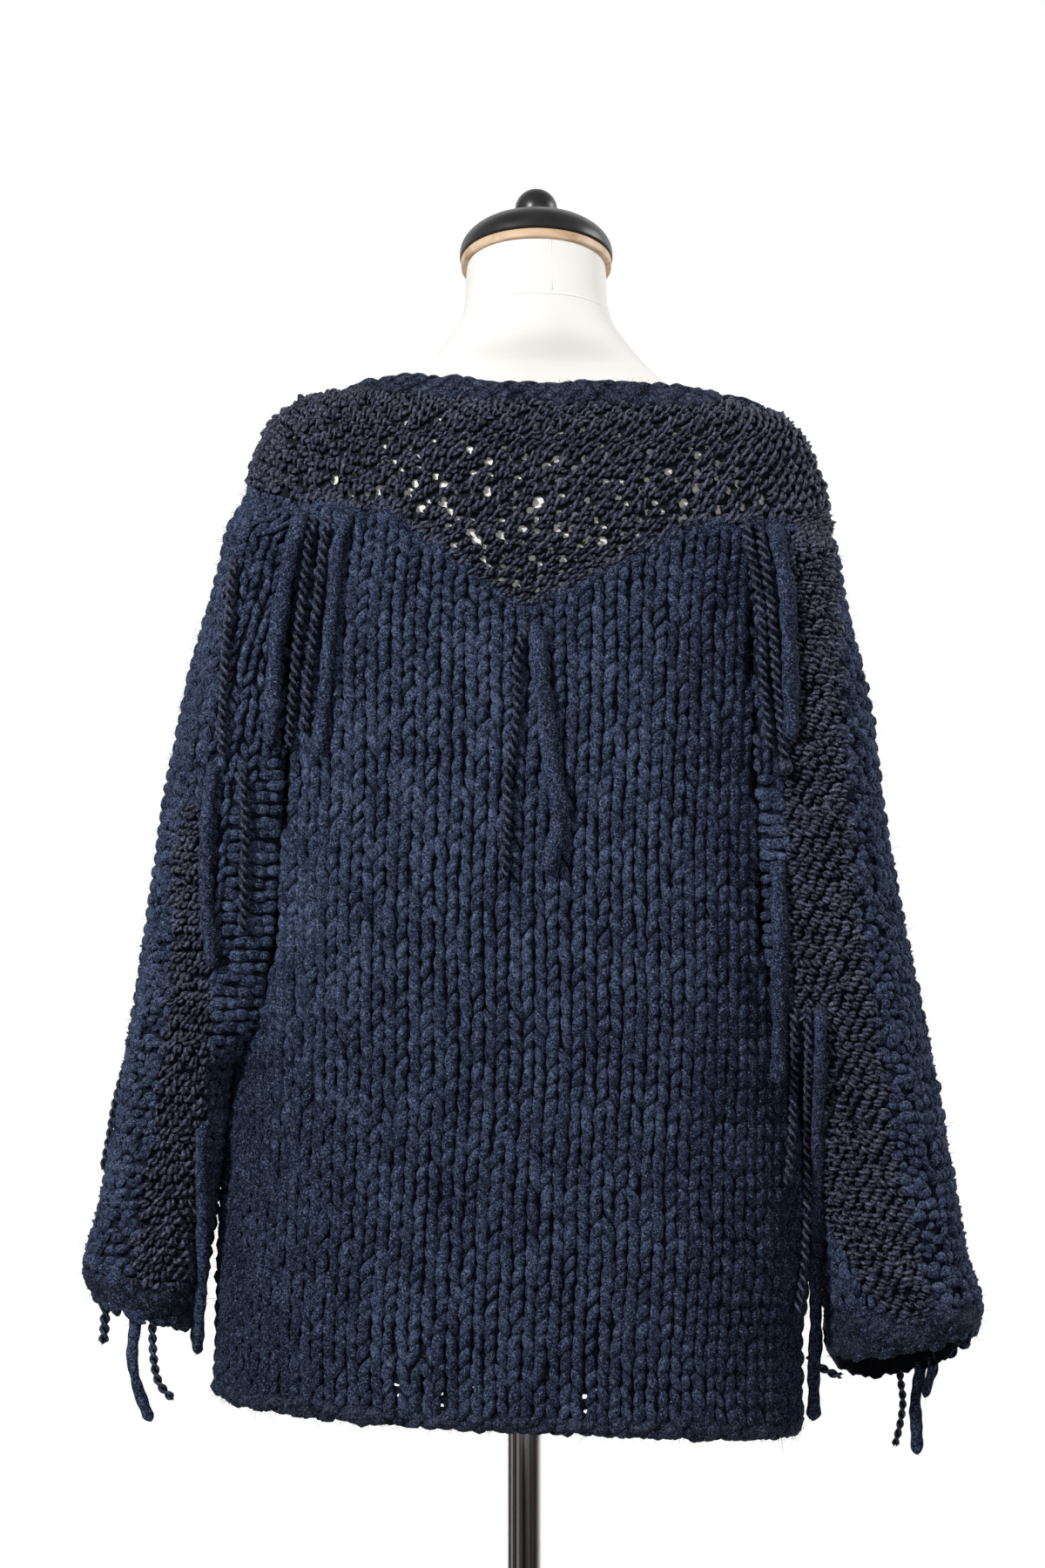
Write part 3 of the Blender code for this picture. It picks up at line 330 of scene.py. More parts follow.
def sleeve_surface(side, middle_x):
    """u is 0 at the outermost line, and positive towards the back seam."""
    us, vs = np.arange(-190.0, 190.1, 2.5), np.arange(YOKE_RUN, v_at(716), 4.0)
    return arc_surface(lambda heights, turned: sleeve_points(side, heights, 1 - turned),
                       np.linspace(0, 1, 361), 0.5, us, vs, middle_x)


BODY_MAP = body_surface(-0.75, 0.75, 0.0)
FRONT_MAP = body_surface(0.25, 1.75, np.pi)
SLEEVE_MAP = {"left": sleeve_surface("left", -250.0), "right": sleeve_surface("right", 260.0)}
EDGE_V = np.arange(0.0, v_at(652), 8.0)


def arc_to(height, start, end):
    """The length of the body's outline at a height between two angles."""
    ring = body_points(np.full(120, height), np.linspace(start, end, 120))
    return np.sum(np.linalg.norm(np.diff(ring, axis=0), axis=1))


def panel_edges(start, at_shoulder):
    """Gives the u of a panel's left and right edges at v, as seen from outside. start is its middle angle."""
    ends = []
    for v in EDGE_V:
        height = float(height_at(v))
        turns = [math.pi / 2] * 2 if at_shoulder else [float(t) for t in seam_turns(np.array(height))]
        left, right = turns[::-1] if start else turns
        ends.append((-arc_to(height, start, start - left), arc_to(height, start, start + right)))
    low, high = np.transpose(ends)
    return lambda v: (np.interp(v, EDGE_V, low), np.interp(v, EDGE_V, high))


back_edges = panel_edges(0.0, False)
front_edges = panel_edges(math.pi, False)
yoke_back_edges = panel_edges(0.0, True)
yoke_front_edges = panel_edges(math.pi, True)


def sleeve_edges(side, v):
    surface = SLEEVE_MAP[side]
    return np.interp(v, surface.vs, surface.low_u), np.interp(v, surface.vs, surface.high_u)


def pixel_x(points):
    """Where points, in metres, show across the photo, in its pixels."""
    return MIDDLE_PX[0] + FOCAL_PX * (points[..., 0] - CAMERA[0]) / (points[..., 1] - CAMERA[1])


def pixel_y(points):
    return MIDDLE_PX[1] - FOCAL_PX * (points[..., 2] - CAMERA[2]) / (points[..., 1] - CAMERA[1])


# Meshes.

def make_mesh(name, points, groups, materials, uv=None, tone=None, sharp=None, smooth=True, stage=False):
    """An object from arrays. Each group of faces holds rows of 3 or 4 indices."""
    mesh = bpy.data.meshes.new(name)
    mesh.vertices.add(len(points))
    mesh.vertices.foreach_set("co", np.asarray(points, np.float32).ravel())
    loops = np.concatenate([g.ravel() for g in groups])
    sizes = np.concatenate([np.full(len(g), g.shape[1]) for g in groups])
    starts = np.concatenate([[0], np.cumsum(sizes)[:-1]])
    mesh.loops.add(len(loops))
    mesh.loops.foreach_set("vertex_index", loops.astype(np.int32))
    mesh.polygons.add(len(sizes))
    mesh.polygons.foreach_set("loop_start", starts.astype(np.int32))
    mesh.polygons.foreach_set("loop_total", sizes.astype(np.int32))
    if uv is not None:
        layer = mesh.uv_layers.new(name="strand")
        layer.data.foreach_set("uv", np.asarray(uv, np.float32)[loops].ravel())
    if tone is not None:
        layer = mesh.attributes.new("tone", "FLOAT", "POINT")
        layer.data.foreach_set("value", np.asarray(tone, np.float32))
    mesh.update(calc_edges=True)
    mesh.validate()
    if smooth:
        mesh.shade_smooth()
    if sharp:
        mesh.set_sharp_from_angle(angle=math.radians(sharp))
    for mat in materials:
        mesh.materials.append(mat)
    obj = bpy.data.objects.new(name, mesh)
    bpy.context.scene.collection.objects.link(obj)
    if stage:
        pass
    else:
        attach(obj, "root")
    return obj


class Heap:
    """Collects copies of templates until they are joined into one mesh."""

    def __init__(self):
        self.points, self.faces, self.uv, self.tone = [], [], [], []
        self.count = 0

    def add(self, points, faces, uv, tone):
        self.points.append(points.reshape(-1, 3))
        self.faces.append(faces.reshape(-1, faces.shape[-1]) + self.count)
        self.uv.append(uv.reshape(-1, 2))
        self.tone.append(tone.ravel())
        self.count += self.points[-1].shape[0]

    def build(self, name, mat):
        groups = [[f for f in self.faces if f.shape[1] == corners] for corners in (4, 3)]
        return make_mesh(name, np.concatenate(self.points), [np.concatenate(g) for g in groups if g], [mat],
                         np.concatenate(self.uv), np.concatenate(self.tone))


def grid_faces(rows, columns, wrap=False):
    i, j = np.meshgrid(np.arange(rows - 1), np.arange(columns if wrap else columns - 1), indexing="ij")
    after = (j + 1) % columns
    return np.stack([i * columns + j, (i + 1) * columns + j, (i + 1) * columns + after, i * columns + after],
                    axis=-1).reshape(-1, 4)


def grid_uv(across, down):
    return np.stack(np.meshgrid(across, down, indexing="xy"), axis=-1).reshape(-1, 2)


def leaf_template(length, width, thick, lean, rings=7, arc=5, fullness=0.62, dive=1.35, painted_shading=0.0):
    """The outer side of a short fat length of yarn that comes out of the cloth, bulges and goes back in.
    a is across, b is down, c is out. lean is how far its top leans to the left."""
    t = np.linspace(0, 1, rings)
    rise = np.sin(np.pi * (0.06 + 0.88 * t))
    swell = np.maximum(np.sin(np.pi * np.clip(t, 0.001, 0.999) ** 0.92) ** fullness, 0.16)
    b = (0.5 - t) * length
    a = -(t - 0.5) * lean + 0.10 * lean * np.sin(2 * np.pi * t)
    c = -thick * dive + thick * (dive + 0.2) * rise ** 0.8
    ahead = np.stack([np.gradient(a), np.gradient(b)], axis=1)
    ahead /= np.linalg.norm(ahead, axis=1, keepdims=True)
    side = np.stack([-ahead[:, 1], ahead[:, 0]], axis=1)
    turn = np.linspace(-1.85, 1.85, arc)
    across = np.sin(turn)[None, :] * (width / 2 * swell)[:, None]
    out = np.cos(turn)[None, :] * (thick * 0.75 * (0.35 + 0.65 * swell))[:, None]
    points = np.stack([a[:, None] + side[:, 0:1] * across, b[:, None] + side[:, 1:2] * across,
                       c[:, None] + out], axis=-1)
    # Painted shade: the yarn is painted lighter on its crest and darker towards its edges and ends, where it
    # goes into the cloth.
    shade = painted_shading * (np.cos(turn)[None, :] * rise[:, None] - 0.80)
    return (points.reshape(-1, 3), grid_faces(rings, arc), grid_uv(np.linspace(0, 1, arc), t * length / 12),
            shade.ravel())


def mirrored(template):
    points, faces, uv, shade = template
    return points * [-1, 1, 1], faces[:, ::-1], uv, shade


def sideways(template):
    """The template turned a quarter round."""
    points, faces, uv, shade = template
    c, s = math.cos(math.pi / 2), math.sin(math.pi / 2)
    a, b = points[:, 0], points[:, 1]
    return np.stack([a * c - b * s, a * s + b * c, points[:, 2]], axis=1), faces, uv, shade


def cord_template(length, radius, pitch, rings, sides, arch):
    """A short arch of two-ply yarn along a, with the ends going into the cloth."""
    parts = []
    t = np.linspace(0, 1, rings)
    c = -radius * 1.3 + radius * (1.3 + arch) * np.sin(np.pi * (0.05 + 0.9 * t)) ** 0.8
    turn = circle(sides)
    offset, ply = radius * 0.5, radius * 0.62
    for number in range(2):
        phase = 2 * np.pi * t * length / pitch + 2 * np.pi * number / 2
        ring_a = np.repeat((t - 0.5)[:, None] * length, sides, axis=1)
        ring_b = (offset * np.cos(phase))[:, None] + ply * np.cos(turn)[None, :]
        ring_c = (c + offset * np.sin(phase))[:, None] + ply * np.sin(turn)[None, :]
        # Painted shade: each ply is painted darker on its side in the groove between the plies, and lighter
        # outside.
        parts.append((np.stack([ring_a, ring_b, ring_c], axis=-1).reshape(-1, 3),
                      grid_faces(rings, sides, wrap=True) + number * rings * sides,
                      grid_uv(np.linspace(0, 1, sides), t * length / 8 + number * 0.37),
                      (1.3 * np.cos(turn[None, :] - phase[:, None]) - 0.5).ravel()))
    return tuple(np.concatenate(part) for part in zip(*parts))


def place(heap, surface, template, us, vs, turn=0.0, size=1.0, depth=1.0, out=0.0, spread=(0.08, 0.06, 0.3),
          stretch=1.0, tone=0.0):
    """Lays copies of a template on a surface at us and vs. spread is how uneven turn, size and place are."""
    points, faces, uv, shade = template
    n = len(us)
    if n == 0:
        return
    turn = turn + random.normal(0, spread[0], n)
    size = size * (1 + random.normal(0, spread[1], n))
    depth = depth * (1 + random.normal(0, spread[1] * 1.5, n))
    us = us + random.normal(0, spread[2], n)
    vs = vs + random.normal(0, spread[2], n)
    c, s = np.cos(turn)[:, None], np.sin(turn)[:, None]
    a = points[None, :, 0] * size[:, None] * stretch
    b = points[None, :, 1] * size[:, None]
    lift = np.broadcast_to(out, n)[:, None] + points[None, :, 2] * depth[:, None]
    world = surface.at(us[:, None] + a * c - b * s, vs[:, None] + a * s + b * c, lift)
    index = (np.arange(n) * len(points))[:, None, None] + faces[None]
    shift = random.random((n, 1, 2)) * 7.0
    # Each copy's tone is a random tone plus the given tone and the template's painted shade.
    heap.add(world, index, uv[None] + shift, (random.random(n) + tone)[:, None] + shade[None, :])


def cut_holes(us, vs, keep, holes):
    """Takes out the cells inside small round holes, and draws the hole's corners onto its outline."""
    middle_u = (us[:-1, :-1] + us[1:, 1:]) / 2
    middle_v = (vs[:-1, :-1] + vs[1:, 1:]) / 2
    for u, v, wide, high in holes:
        near = ((middle_u - u) / wide) ** 2 + ((middle_v - v) / high) ** 2 < 1
        keep &= ~near
        for i, j in zip(*np.nonzero(near)):
            for corner in ((i, j), (i + 1, j), (i + 1, j + 1), (i, j + 1)):
                off_u, off_v = us[corner] - u, vs[corner] - v
                reach = math.hypot(off_u / wide, off_v / high)
                if reach > 0.6:
                    us[corner] = u + off_u / reach
                    vs[corner] = v + off_v / reach


def shell(name, surface, grid, wall, mat, holes=()):
    """A closed thin wall over a grid of u and v, arrays of rows by columns."""
    us, vs = grid
    rows, columns = us.shape
    keep = np.ones((rows - 1, columns - 1), bool)
    cut_holes(us, vs, keep, holes)
    points = np.concatenate([surface.at(us, vs, level).reshape(-1, 3) for level in wall])
    i, j = np.nonzero(keep)
    outside = grid_faces(rows, columns)[i * (columns - 1) + j]
    count = rows * columns
    edges = {}
    for face in outside:
        for k in range(4):
            edge = (int(face[k]), int(face[(k + 1) % 4]))
            if edge[::-1] in edges:
                del edges[edge[::-1]]
            else:
                edges[edge] = True
    rim = np.array([[e[1], e[0], e[0] + count, e[1] + count] for e in edges])
    faces = np.concatenate([outside, outside[:, ::-1] + count, rim])
    used = np.unique(faces)
    remap = np.zeros(len(points), int)
    remap[used] = np.arange(len(used))
    flat = np.stack([us.ravel(), vs.ravel()], axis=1) / 12
    uv = np.concatenate([flat, flat])[used]
    points, faces = points[used], remap[faces]
    normal = np.cross(points[faces[0, 1]] - points[faces[0, 0]], points[faces[0, 3]] - points[faces[0, 0]])
    if np.dot(normal, surface.blend(surface.normals, us[i[:1], j[:1]], vs[i[:1], j[:1]])[0]) < 0:
        faces = faces[:, ::-1]
    return make_mesh(name, points, [faces], [mat], uv, np.full(len(points), 0.5), sharp=60)


def tube_mesh(name, rings, materials, closed=False, sharp=None):
    """A mesh through closed rings of points, in metres, joined end to end or with flat ends."""
    count, size = rings.shape[:2]
    j = np.arange(size)
    after, last = (j + 1) % size, (count - 1) * size
    points = rings.reshape(-1, 3)
    groups = [grid_faces(count, size, wrap=True)]
    uv = grid_uv(np.linspace(0, 3, size), run_along(rings[:, 0]) / MM / 12.0)
    if closed:
        groups = [np.concatenate(groups + [np.stack([last + j, j, after, last + after], axis=1)])]
    else:
        points = np.concatenate([points, [rings[0].mean(axis=0), rings[-1].mean(axis=0)]])
        uv = np.concatenate([uv, [[0, 0], [0, 0]]])
        start = np.stack([after, j, np.full(size, last + size)], axis=1)
        end = np.stack([last + j, last + after, np.full(size, last + size + 1)], axis=1)
        groups.append(np.concatenate([start, end]))
    obj = make_mesh(name, points, groups, materials, uv, np.full(len(points), 0.5), sharp=sharp)
    build = bmesh.new()
    build.from_mesh(obj.data)
    bmesh.ops.recalc_face_normals(build, faces=build.faces[:])
    build.to_mesh(obj.data)
    build.free()
    return obj


# Materials.

class Shader:
    """A material under construction."""

    def __init__(self, name, **values):
        self.mat = bpy.data.materials.new(name)
        self.mat.use_nodes = True
        self.tree = self.mat.node_tree
        self.surface = self.tree.nodes["Principled BSDF"]
        self.feed(self.surface, values)

    def feed(self, node, values):
        """Sets a node's inputs to numbers or joins them to other nodes' outputs."""
        for key, value in values.items():
            socket = node.inputs[key if isinstance(key, int) else key.replace("_", " ")]
            if isinstance(value, bpy.types.NodeSocket):
                self.tree.links.new(value, socket)
            else:
                socket.default_value = value

    def node(self, kind, output, values, **settings):
        node = self.tree.nodes.new("ShaderNode" + kind)
        for key, value in settings.items():
            setattr(node, key, value)
        self.feed(node, values)
        return node.outputs[output]

    def place(self, scale=None):
        """Where a point lies on its piece, stretched by a scale."""
        at = self.node("TexCoord", "Object", {})
        return self.node("Mapping", "Vector", {"Scale": scale, "Vector": at}) if scale else at

    def tone(self):
        return self.node("Attribute", "Fac", {}, attribute_name="tone")

    def noise(self, vector, scale, detail=2.0, roughness=0.5, distortion=0.0):
        return self.node("TexNoise", "Fac", {"Scale": scale, "Detail": detail, "Roughness": roughness,
                                             "Distortion": distortion, "Vector": vector})

    def ramp(self, source, *stops):
        """Colours, or grey numbers, between positions."""
        colours = self.node("ValToRGB", "Color", {"Fac": source})
        elements = colours.node.color_ramp.elements
        while len(elements) < len(stops):
            elements.new(0.5)
        for element, (position, colour) in zip(elements, stops):
            element.position = position
            element.color = (*np.broadcast_to(colour, 3), 1.0)
        return colours

    def weighted(self, *parts):
        """The sum of (value, weight) pairs, about 0.5."""
        total = 0.5 - 0.5 * sum(weight for _, weight in parts)
        for value, weight in parts:
            total = self.node("Math", "Value", {0: value, 1: weight, 2: total}, operation="MULTIPLY_ADD")
        return total

    def bump(self, height, strength, distance):
        values = {"Strength": strength, "Distance": distance, "Height": height}
        self.feed(self.surface, {"Normal": self.node("Bump", "Normal", values)})


def yarn_material(name, dark, middle, light, stretch, roughness, sheen, tint, grain, streak, flecks_and_glints,
                  fleck_and_glint_colour, relief=0.6, patch=30.0):
    """Felted yarn: fine curly fibres, streaks along the strand, uneven dye, sheen, and light flecks, on
    charcoal partly painted glints.
    """
    made = Shader(name, Roughness=roughness, Sheen_Weight=sheen, Sheen_Roughness=0.45,
                  Sheen_Tint=(*tint, 1.0), Specular_IOR_Level=0.14)
    uv = made.node("UVMap", "UV", {}, uv_map="strand")
    along = made.node("Mapping", "Vector", {"Scale": (*stretch, 1.0), "Vector": uv})
    at = made.place()
    fibre = made.noise(along, 1.0, 4.0, 0.6)
    curl = made.noise(at, 540.0, 3.0, 0.75, 1.5)
    dye = made.noise(at, patch, 3.0)
    # The tone attribute carries each copy's random tone and, on many pieces, painted shade and painted
    # highlights.
    value = made.weighted((fibre, streak), (curl, grain), (dye, 0.28), (made.tone(), 0.10))
    colour = made.ramp(value, (0.28, dark), (0.50, middle), (0.76, light))
    # Lighter flecks: light fibres in the navy yarns; in the charcoal yarns partly the shiny thread and partly
    # painted glints.
    mask = made.ramp(made.noise(at, 900.0, 2.0), (0.60, 0), (0.70, flecks_and_glints))
    mixed = made.node("Mix", 2, {0: mask, 6: colour, 7: (*fleck_and_glint_colour, 1)}, data_type="RGBA")
    made.feed(made.surface, {"Base Color": mixed})
    made.bump(made.weighted((curl, 1.0), (fibre, 0.5)), relief, 0.0008)
    return made.mat


NAVY_TINT = (0.40, 0.55, 0.85)
GREY_TINT = (0.65, 0.70, 0.85)
RUN = (6.0, 1.6)
TWISTED_RUN = (8.0, 1.2)
NAVY = yarn_material("navy_roving", (0.0012, 0.0026, 0.0086), (0.0100, 0.0172, 0.0425), (0.105, 0.142, 0.245),
                     RUN, 0.9, 0.04, NAVY_TINT, 2.1, 0.45, 0.8, (0.18, 0.21, 0.31))
FELT = yarn_material("navy_felt", (0.0009, 0.0017, 0.0054), (0.0068, 0.0106, 0.0245), (0.075, 0.096, 0.155),
                     RUN, 0.9, 0.04, NAVY_TINT, 2.1, 0.45, 0.7, (0.13, 0.155, 0.23))
# Painted shade: the cloth's core walls, the same navy yarn painted much darker for the shade between the
# stitches.
SHADED_NAVY_CORE = yarn_material("navy_core_painted_shade", (0.0016, 0.0024, 0.0060), (0.0050, 0.0074, 0.0160),
                          (0.020, 0.027, 0.050), RUN, 0.95, 0.0, NAVY_TINT, 1.45, 0.30, 0.25,
                          (0.03, 0.042, 0.075), 0.8)
# The charcoal yarns' flecks are partly the thin shiny thread and partly painted glints.
CHARCOAL = yarn_material("charcoal_twist", (0.0022, 0.0028, 0.0062), (0.0222, 0.0260, 0.0470),
                         (0.132, 0.142, 0.212), TWISTED_RUN, 0.50, 0.0, GREY_TINT, 1.8, 0.8, 0.75,
                         (0.26, 0.28, 0.38), patch=60.0)
CORD = yarn_material("charcoal_cord", (0.0006, 0.0010, 0.0026), (0.0068, 0.0092, 0.0205),
                     (0.110, 0.128, 0.205), TWISTED_RUN, 0.42, 0.0, GREY_TINT, 1.6, 0.9, 0.35,
                     (0.20, 0.22, 0.32), patch=60.0)
# Painted shade: the yoke's core walls, the charcoal yarn painted much darker for the shade between the bumps.
SHADED_CHARCOAL_CORE = yarn_material("charcoal_core_painted_shade", (0.0018, 0.0022, 0.0040), (0.0060, 0.0068, 0.0115),
                              (0.020, 0.022, 0.032), TWISTED_RUN, 0.8, 0.0, GREY_TINT, 1.1, 0.5, 0.2,
                              (0.04, 0.04, 0.05), patch=60.0)
# Painted shade: the inside of the cuffs, the navy felt painted nearly black for the shade inside them.
SHADED_INSIDE = yarn_material("navy_inside_painted_shade", (0.0006, 0.0008, 0.0018), (0.0020, 0.0028, 0.0060),
                       (0.008, 0.011, 0.020), RUN, 1.0, 0.0, NAVY_TINT, 1.2, 0.3, 0.1, (0.02, 0.03, 0.05))
HAIR = yarn_material("navy_hair", (0.012, 0.017, 0.034), (0.040, 0.055, 0.100), (0.12, 0.16, 0.27),
                     (2.0, 1.0), 0.8, 0.1, NAVY_TINT, 0.8, 0.4, 0.2, (0.16, 0.20, 0.31), 0.0)


def clouded(name, scale, *stops, **values):
    """A material with soft clouds of colour."""
    made = Shader(name, **values)
    made.feed(made.surface, {"Base Color": made.ramp(made.noise(made.place(), scale), *stops)})
    return made


def jersey_material():
    """Fine white knitted cover, stretched smooth."""
    made = clouded("cream_jersey", 14.0, (0.3, (0.83, 0.80, 0.76)), (0.7, (0.89, 0.865, 0.83)),
                   Roughness=0.85, Sheen_Weight=0.25)
    made.bump(made.noise(made.place((1500.0, 1500.0, 900.0)), 1.0), 0.25, 0.0004)
    return made.mat


def wood_material():
    made = Shader("pale_wood", Roughness=0.5)
    grain = made.noise(made.place((14.0, 90.0, 90.0)), 1.0, 6.0, 0.5, 0.8)
    colour = made.ramp(grain, (0.3, (0.44, 0.285, 0.170)), (0.5, (0.62, 0.435, 0.285)),
                       (0.7, (0.72, 0.53, 0.365)))
    made.feed(made.surface, {"Base Color": colour})
    made.bump(grain, 0.2, 0.0005)
    return made.mat


def lacquer_material():
    made = Shader("black_lacquer")
    cloud = made.noise(made.place(), 60.0, 4.0)
    colour = made.ramp(cloud, (0.35, (0.010, 0.010, 0.011)), (0.7, (0.018, 0.018, 0.020)))
    made.feed(made.surface, {"Base Color": colour, "Roughness": made.ramp(cloud, (0.3, 0.30), (0.7, 0.42))})
    return made.mat


def chrome_material():
    made = Shader("chrome_metal", Base_Color=(0.74, 0.74, 0.75, 1), Metallic=1.0)
    streak = made.noise(made.place((300.0, 300.0, 8.0)), 1.0)
    made.feed(made.surface, {"Roughness": made.ramp(streak, (0.3, 0.07), (0.7, 0.14))})
    return made.mat


JERSEY = jersey_material()
WOOD = wood_material()
LACQUER = lacquer_material()
CHROME = chrome_material()


# The knit.

LEG = leaf_template(19.5, 8.1, 5.0, 4.4, fullness=0.58, dive=0.60)
LEG_PLAIN = leaf_template(19.5, 8.1, 5.0, 4.4, rings=5, arc=3, fullness=0.58, dive=0.60)
# Where light shows through the knit above the hem, in the photo's pixels.
HEM_GAPS = ((452, 1557), (487, 1558), (469, 1567), (453, 1575), (488, 1590), (455, 1590), (506, 1600),
            (488, 1606), (458, 1603), (506, 1617), (478, 1630), (448, 1628), (546, 1593), (744, 1580),
            (773, 1599), (802, 1598), (772, 1613), (787, 1626), (770, 1630), (741, 1627), (699, 1634),
            (688, 1596), (689, 1613), (672, 1604), (674, 1622), (625, 1582))
# Spans of the photo's pixels over which the back's painted shade and the flatness of its knit change.
SHADE_RIGHT_PX = (760, 830)
SHADE_LEFT_PX = (345, 295)
SHADE_CORNER_PX = (440, 350)
FLAT_LEFT_PX = (440, 360)
FLAT_LOW_PX = (1180, 1300)


def pushed(us, vs, gaps, push):
    """Moves stitches aside where the knit gapes. A gap is (u, v, half width, half height)."""
    us, vs = us.copy(), vs.copy()
    for u, v, wide, high in gaps:
        off_u, off_v = us - u, vs - v
        far = np.hypot(off_u, off_v) + 0.3
        shift = push * (wide + high) / 2 * np.clip(1 - far / 9.0, 0, 1) ** 0.6
        us += shift * off_u / far
        vs += shift * off_v / far
    return us, vs


def gaps_at(surface, pixels, low_v, high_v, size):
    """The gaps at places given in the photo's pixels."""
    grid_u, grid_v = np.meshgrid(np.arange(-200, 200, 1.0), np.arange(low_v, high_v, 1.0))
    points = surface.at(grid_u, grid_v)
    gaps = []
    for x, y in pixels:
        far = (pixel_x(points) - x) ** 2 + (pixel_y(points) - y) ** 2
        i, j = np.unravel_index(np.argmin(far), far.shape)
        if far[i, j] < 9:
            wide = size * (0.9 + 0.4 * random.random())
            gaps.append((float(grid_u[i, j]), float(grid_v[i, j]), wide, size))
    return gaps


def stockinette(heap, surface, edges, v_low, wale, row, leg, keep, depth=None, gaps=(),
                spread=(0.10, 0.10, 0.60), tone=None):
    """Rows of V stitches between a panel's edges, from the yoke's level down to v_low."""
    for number in range(int((v_low - YOKE_RUN) // row) + 1):
        v = v_low - row * (number + 0.5)
        low, high = edges(v)
        wales = np.arange(math.ceil(low / wale - 0.5), math.floor(high / wale + 0.5) + 1) * wale
        wales = wales + 0.9 * np.sin(v / 37.0 + wales / 90.0)
        for sign, template in ((-1, leg), (1, mirrored(leg))):
            us = wales + sign * wale / 4
            vs = np.full(len(us), v)
            inside = (us > low + 0.15 * wale) & (us < high - 0.15 * wale) & keep(us, vs)
            us, vs = pushed(us[inside], vs[inside], gaps, 1.3)
            place(heap, surface, template, us, vs, size=row / ROW, stretch=wale / WALE * ROW / row,
                  depth=depth(us, vs) if depth else 1.0, spread=spread, tone=tone(us, vs) if tone else 0.0)


def yoke_low(us, vs):
    """The v of the back yoke's lower edge at the x of each place."""
    return yoke_edge(BODY_MAP.at(us, vs)[..., 0] / MM)


def back_keep(us, vs):
    return vs > yoke_low(us, vs) + 2


def painted_side_shade(us, vs):
    """Painted shade: the knit is painted a little darker beside the right seam, in the crease of the left one
    and low down.
    """
    across = pixel_x(BODY_MAP.at(us, vs))
    corner = between(across, *SHADE_CORNER_PX) * ease((vs - v_at(980)) / 80)
    low = ease((vs - v_at(1060)) / 180)
    sides = 0.8 * between(across, *SHADE_RIGHT_PX) + 0.5 * between(across, *SHADE_LEFT_PX)
    return -(sides + 0.6 * corner + 0.35 * low)


def fine_corner(us, vs):
    """The knit is flatter in the lower left corner."""
    points = BODY_MAP.at(us, vs)
    return 1.0 - 0.35 * between(pixel_x(points), *FLAT_LEFT_PX) * between(pixel_y(points), *FLAT_LOW_PX)


def panel_grid(edges, top, low, rows, columns, margin=0.4):
    """u and v over a panel. top is the v of its upper edge, or gives it at a share of the panel's width."""
    share = np.linspace(0, 1, columns)
    tops = top(share) if callable(top) else np.full(columns, top)
    vs = tops[None, :] + (low - tops[None, :]) * np.linspace(0, 1, rows)[:, None]
    left, right = edges(vs)
    return left + margin + (right - left - 2 * margin) * share[None, :], vs


def back_top(share):
    left, right = back_edges(YOKE_RUN + 20)
    return yoke_low(left + (right - left) * share, YOKE_RUN + 20) + 0.3


HEM_V = v_at(HEM_TOP)
FOOT_V = HEM_V - 62.0
HEM_HOLES = gaps_at(BODY_MAP, HEM_GAPS, FOOT_V + 3, HEM_V - 3, 2.0)
back_cloth = shell("back_cloth", BODY_MAP, panel_grid(back_edges, back_top, FOOT_V, 60, 56),
                   KNIT_WALL, SHADED_NAVY_CORE)
back_foot = shell("back_foot", BODY_MAP, panel_grid(back_edges, FOOT_V, HEM_V, 36, 200),
                  FOOT_WALL, SHADED_NAVY_CORE, HEM_HOLES)
front_cloth = shell("front_cloth", FRONT_MAP, panel_grid(front_edges, YOKE_RUN + 0.3, HEM_V, 56, 52),
                    KNIT_WALL, SHADED_NAVY_CORE)

back_knit, front_knit = Heap(), Heap()
stockinette(back_knit, BODY_MAP, back_edges, HEM_V + 2, WALE, ROW, LEG, back_keep, fine_corner, HEM_HOLES,
            tone=painted_side_shade)
# The stitches along the yoke's lower edge lie sideways, in uneven loops.
LOOP = sideways(leaf_template(15.0, 7.6, 3.6, 0.8, rings=6, fullness=0.5))
for shift in (0.0, 6.5):
    us = np.arange(-172 + shift, 172, 9.5)
    vs = YOKE_RUN + 20.0
    for _ in range(4):
        vs = yoke_low(us, vs) + 1.5 + shift * 0.35
    slope = np.arctan2(np.gradient(vs), np.gradient(us)) * 0.75
    place(back_knit, BODY_MAP, LOOP, us, vs, turn=slope, out=0.7 + shift * 0.05,
          spread=(0.5, 0.22, 2.2), tone=-0.6)
stockinette(front_knit, FRONT_MAP, front_edges, HEM_V + 2, WALE, ROW, LEG_PLAIN,
            lambda us, vs: vs > YOKE_RUN + 4)
back_stitches = back_knit.build("back_stitches", NAVY)
front_stitches = front_knit.build("front_stitches", NAVY)


# The yoke.

MOSS_ACROSS = 10.6
MOSS_DOWN = 6.0
MOSS_BUMP = cord_template(10.8, 2.95, 14.0, rings=7, sides=5, arch=0.90)
MOSS_BUMP_PLAIN = cord_template(10.2, 3.0, 13.0, rings=4, sides=4, arch=0.75)
# Spans of the photo's pixels over which the yoke opens up, and where it is more open.
OPEN_LEFT_PX = (312, 352)
OPEN_RIGHT_PX = (885, 835)
OPEN_TOP_PX = (458, 503)
WIDE_PX = (500, 560)
MORE_OPEN_PX = 480
OPEN_MIDDLE_PX = (540, 720)
HOLE_CHANCE = 0.62
HOLE_SPACING = 9.4


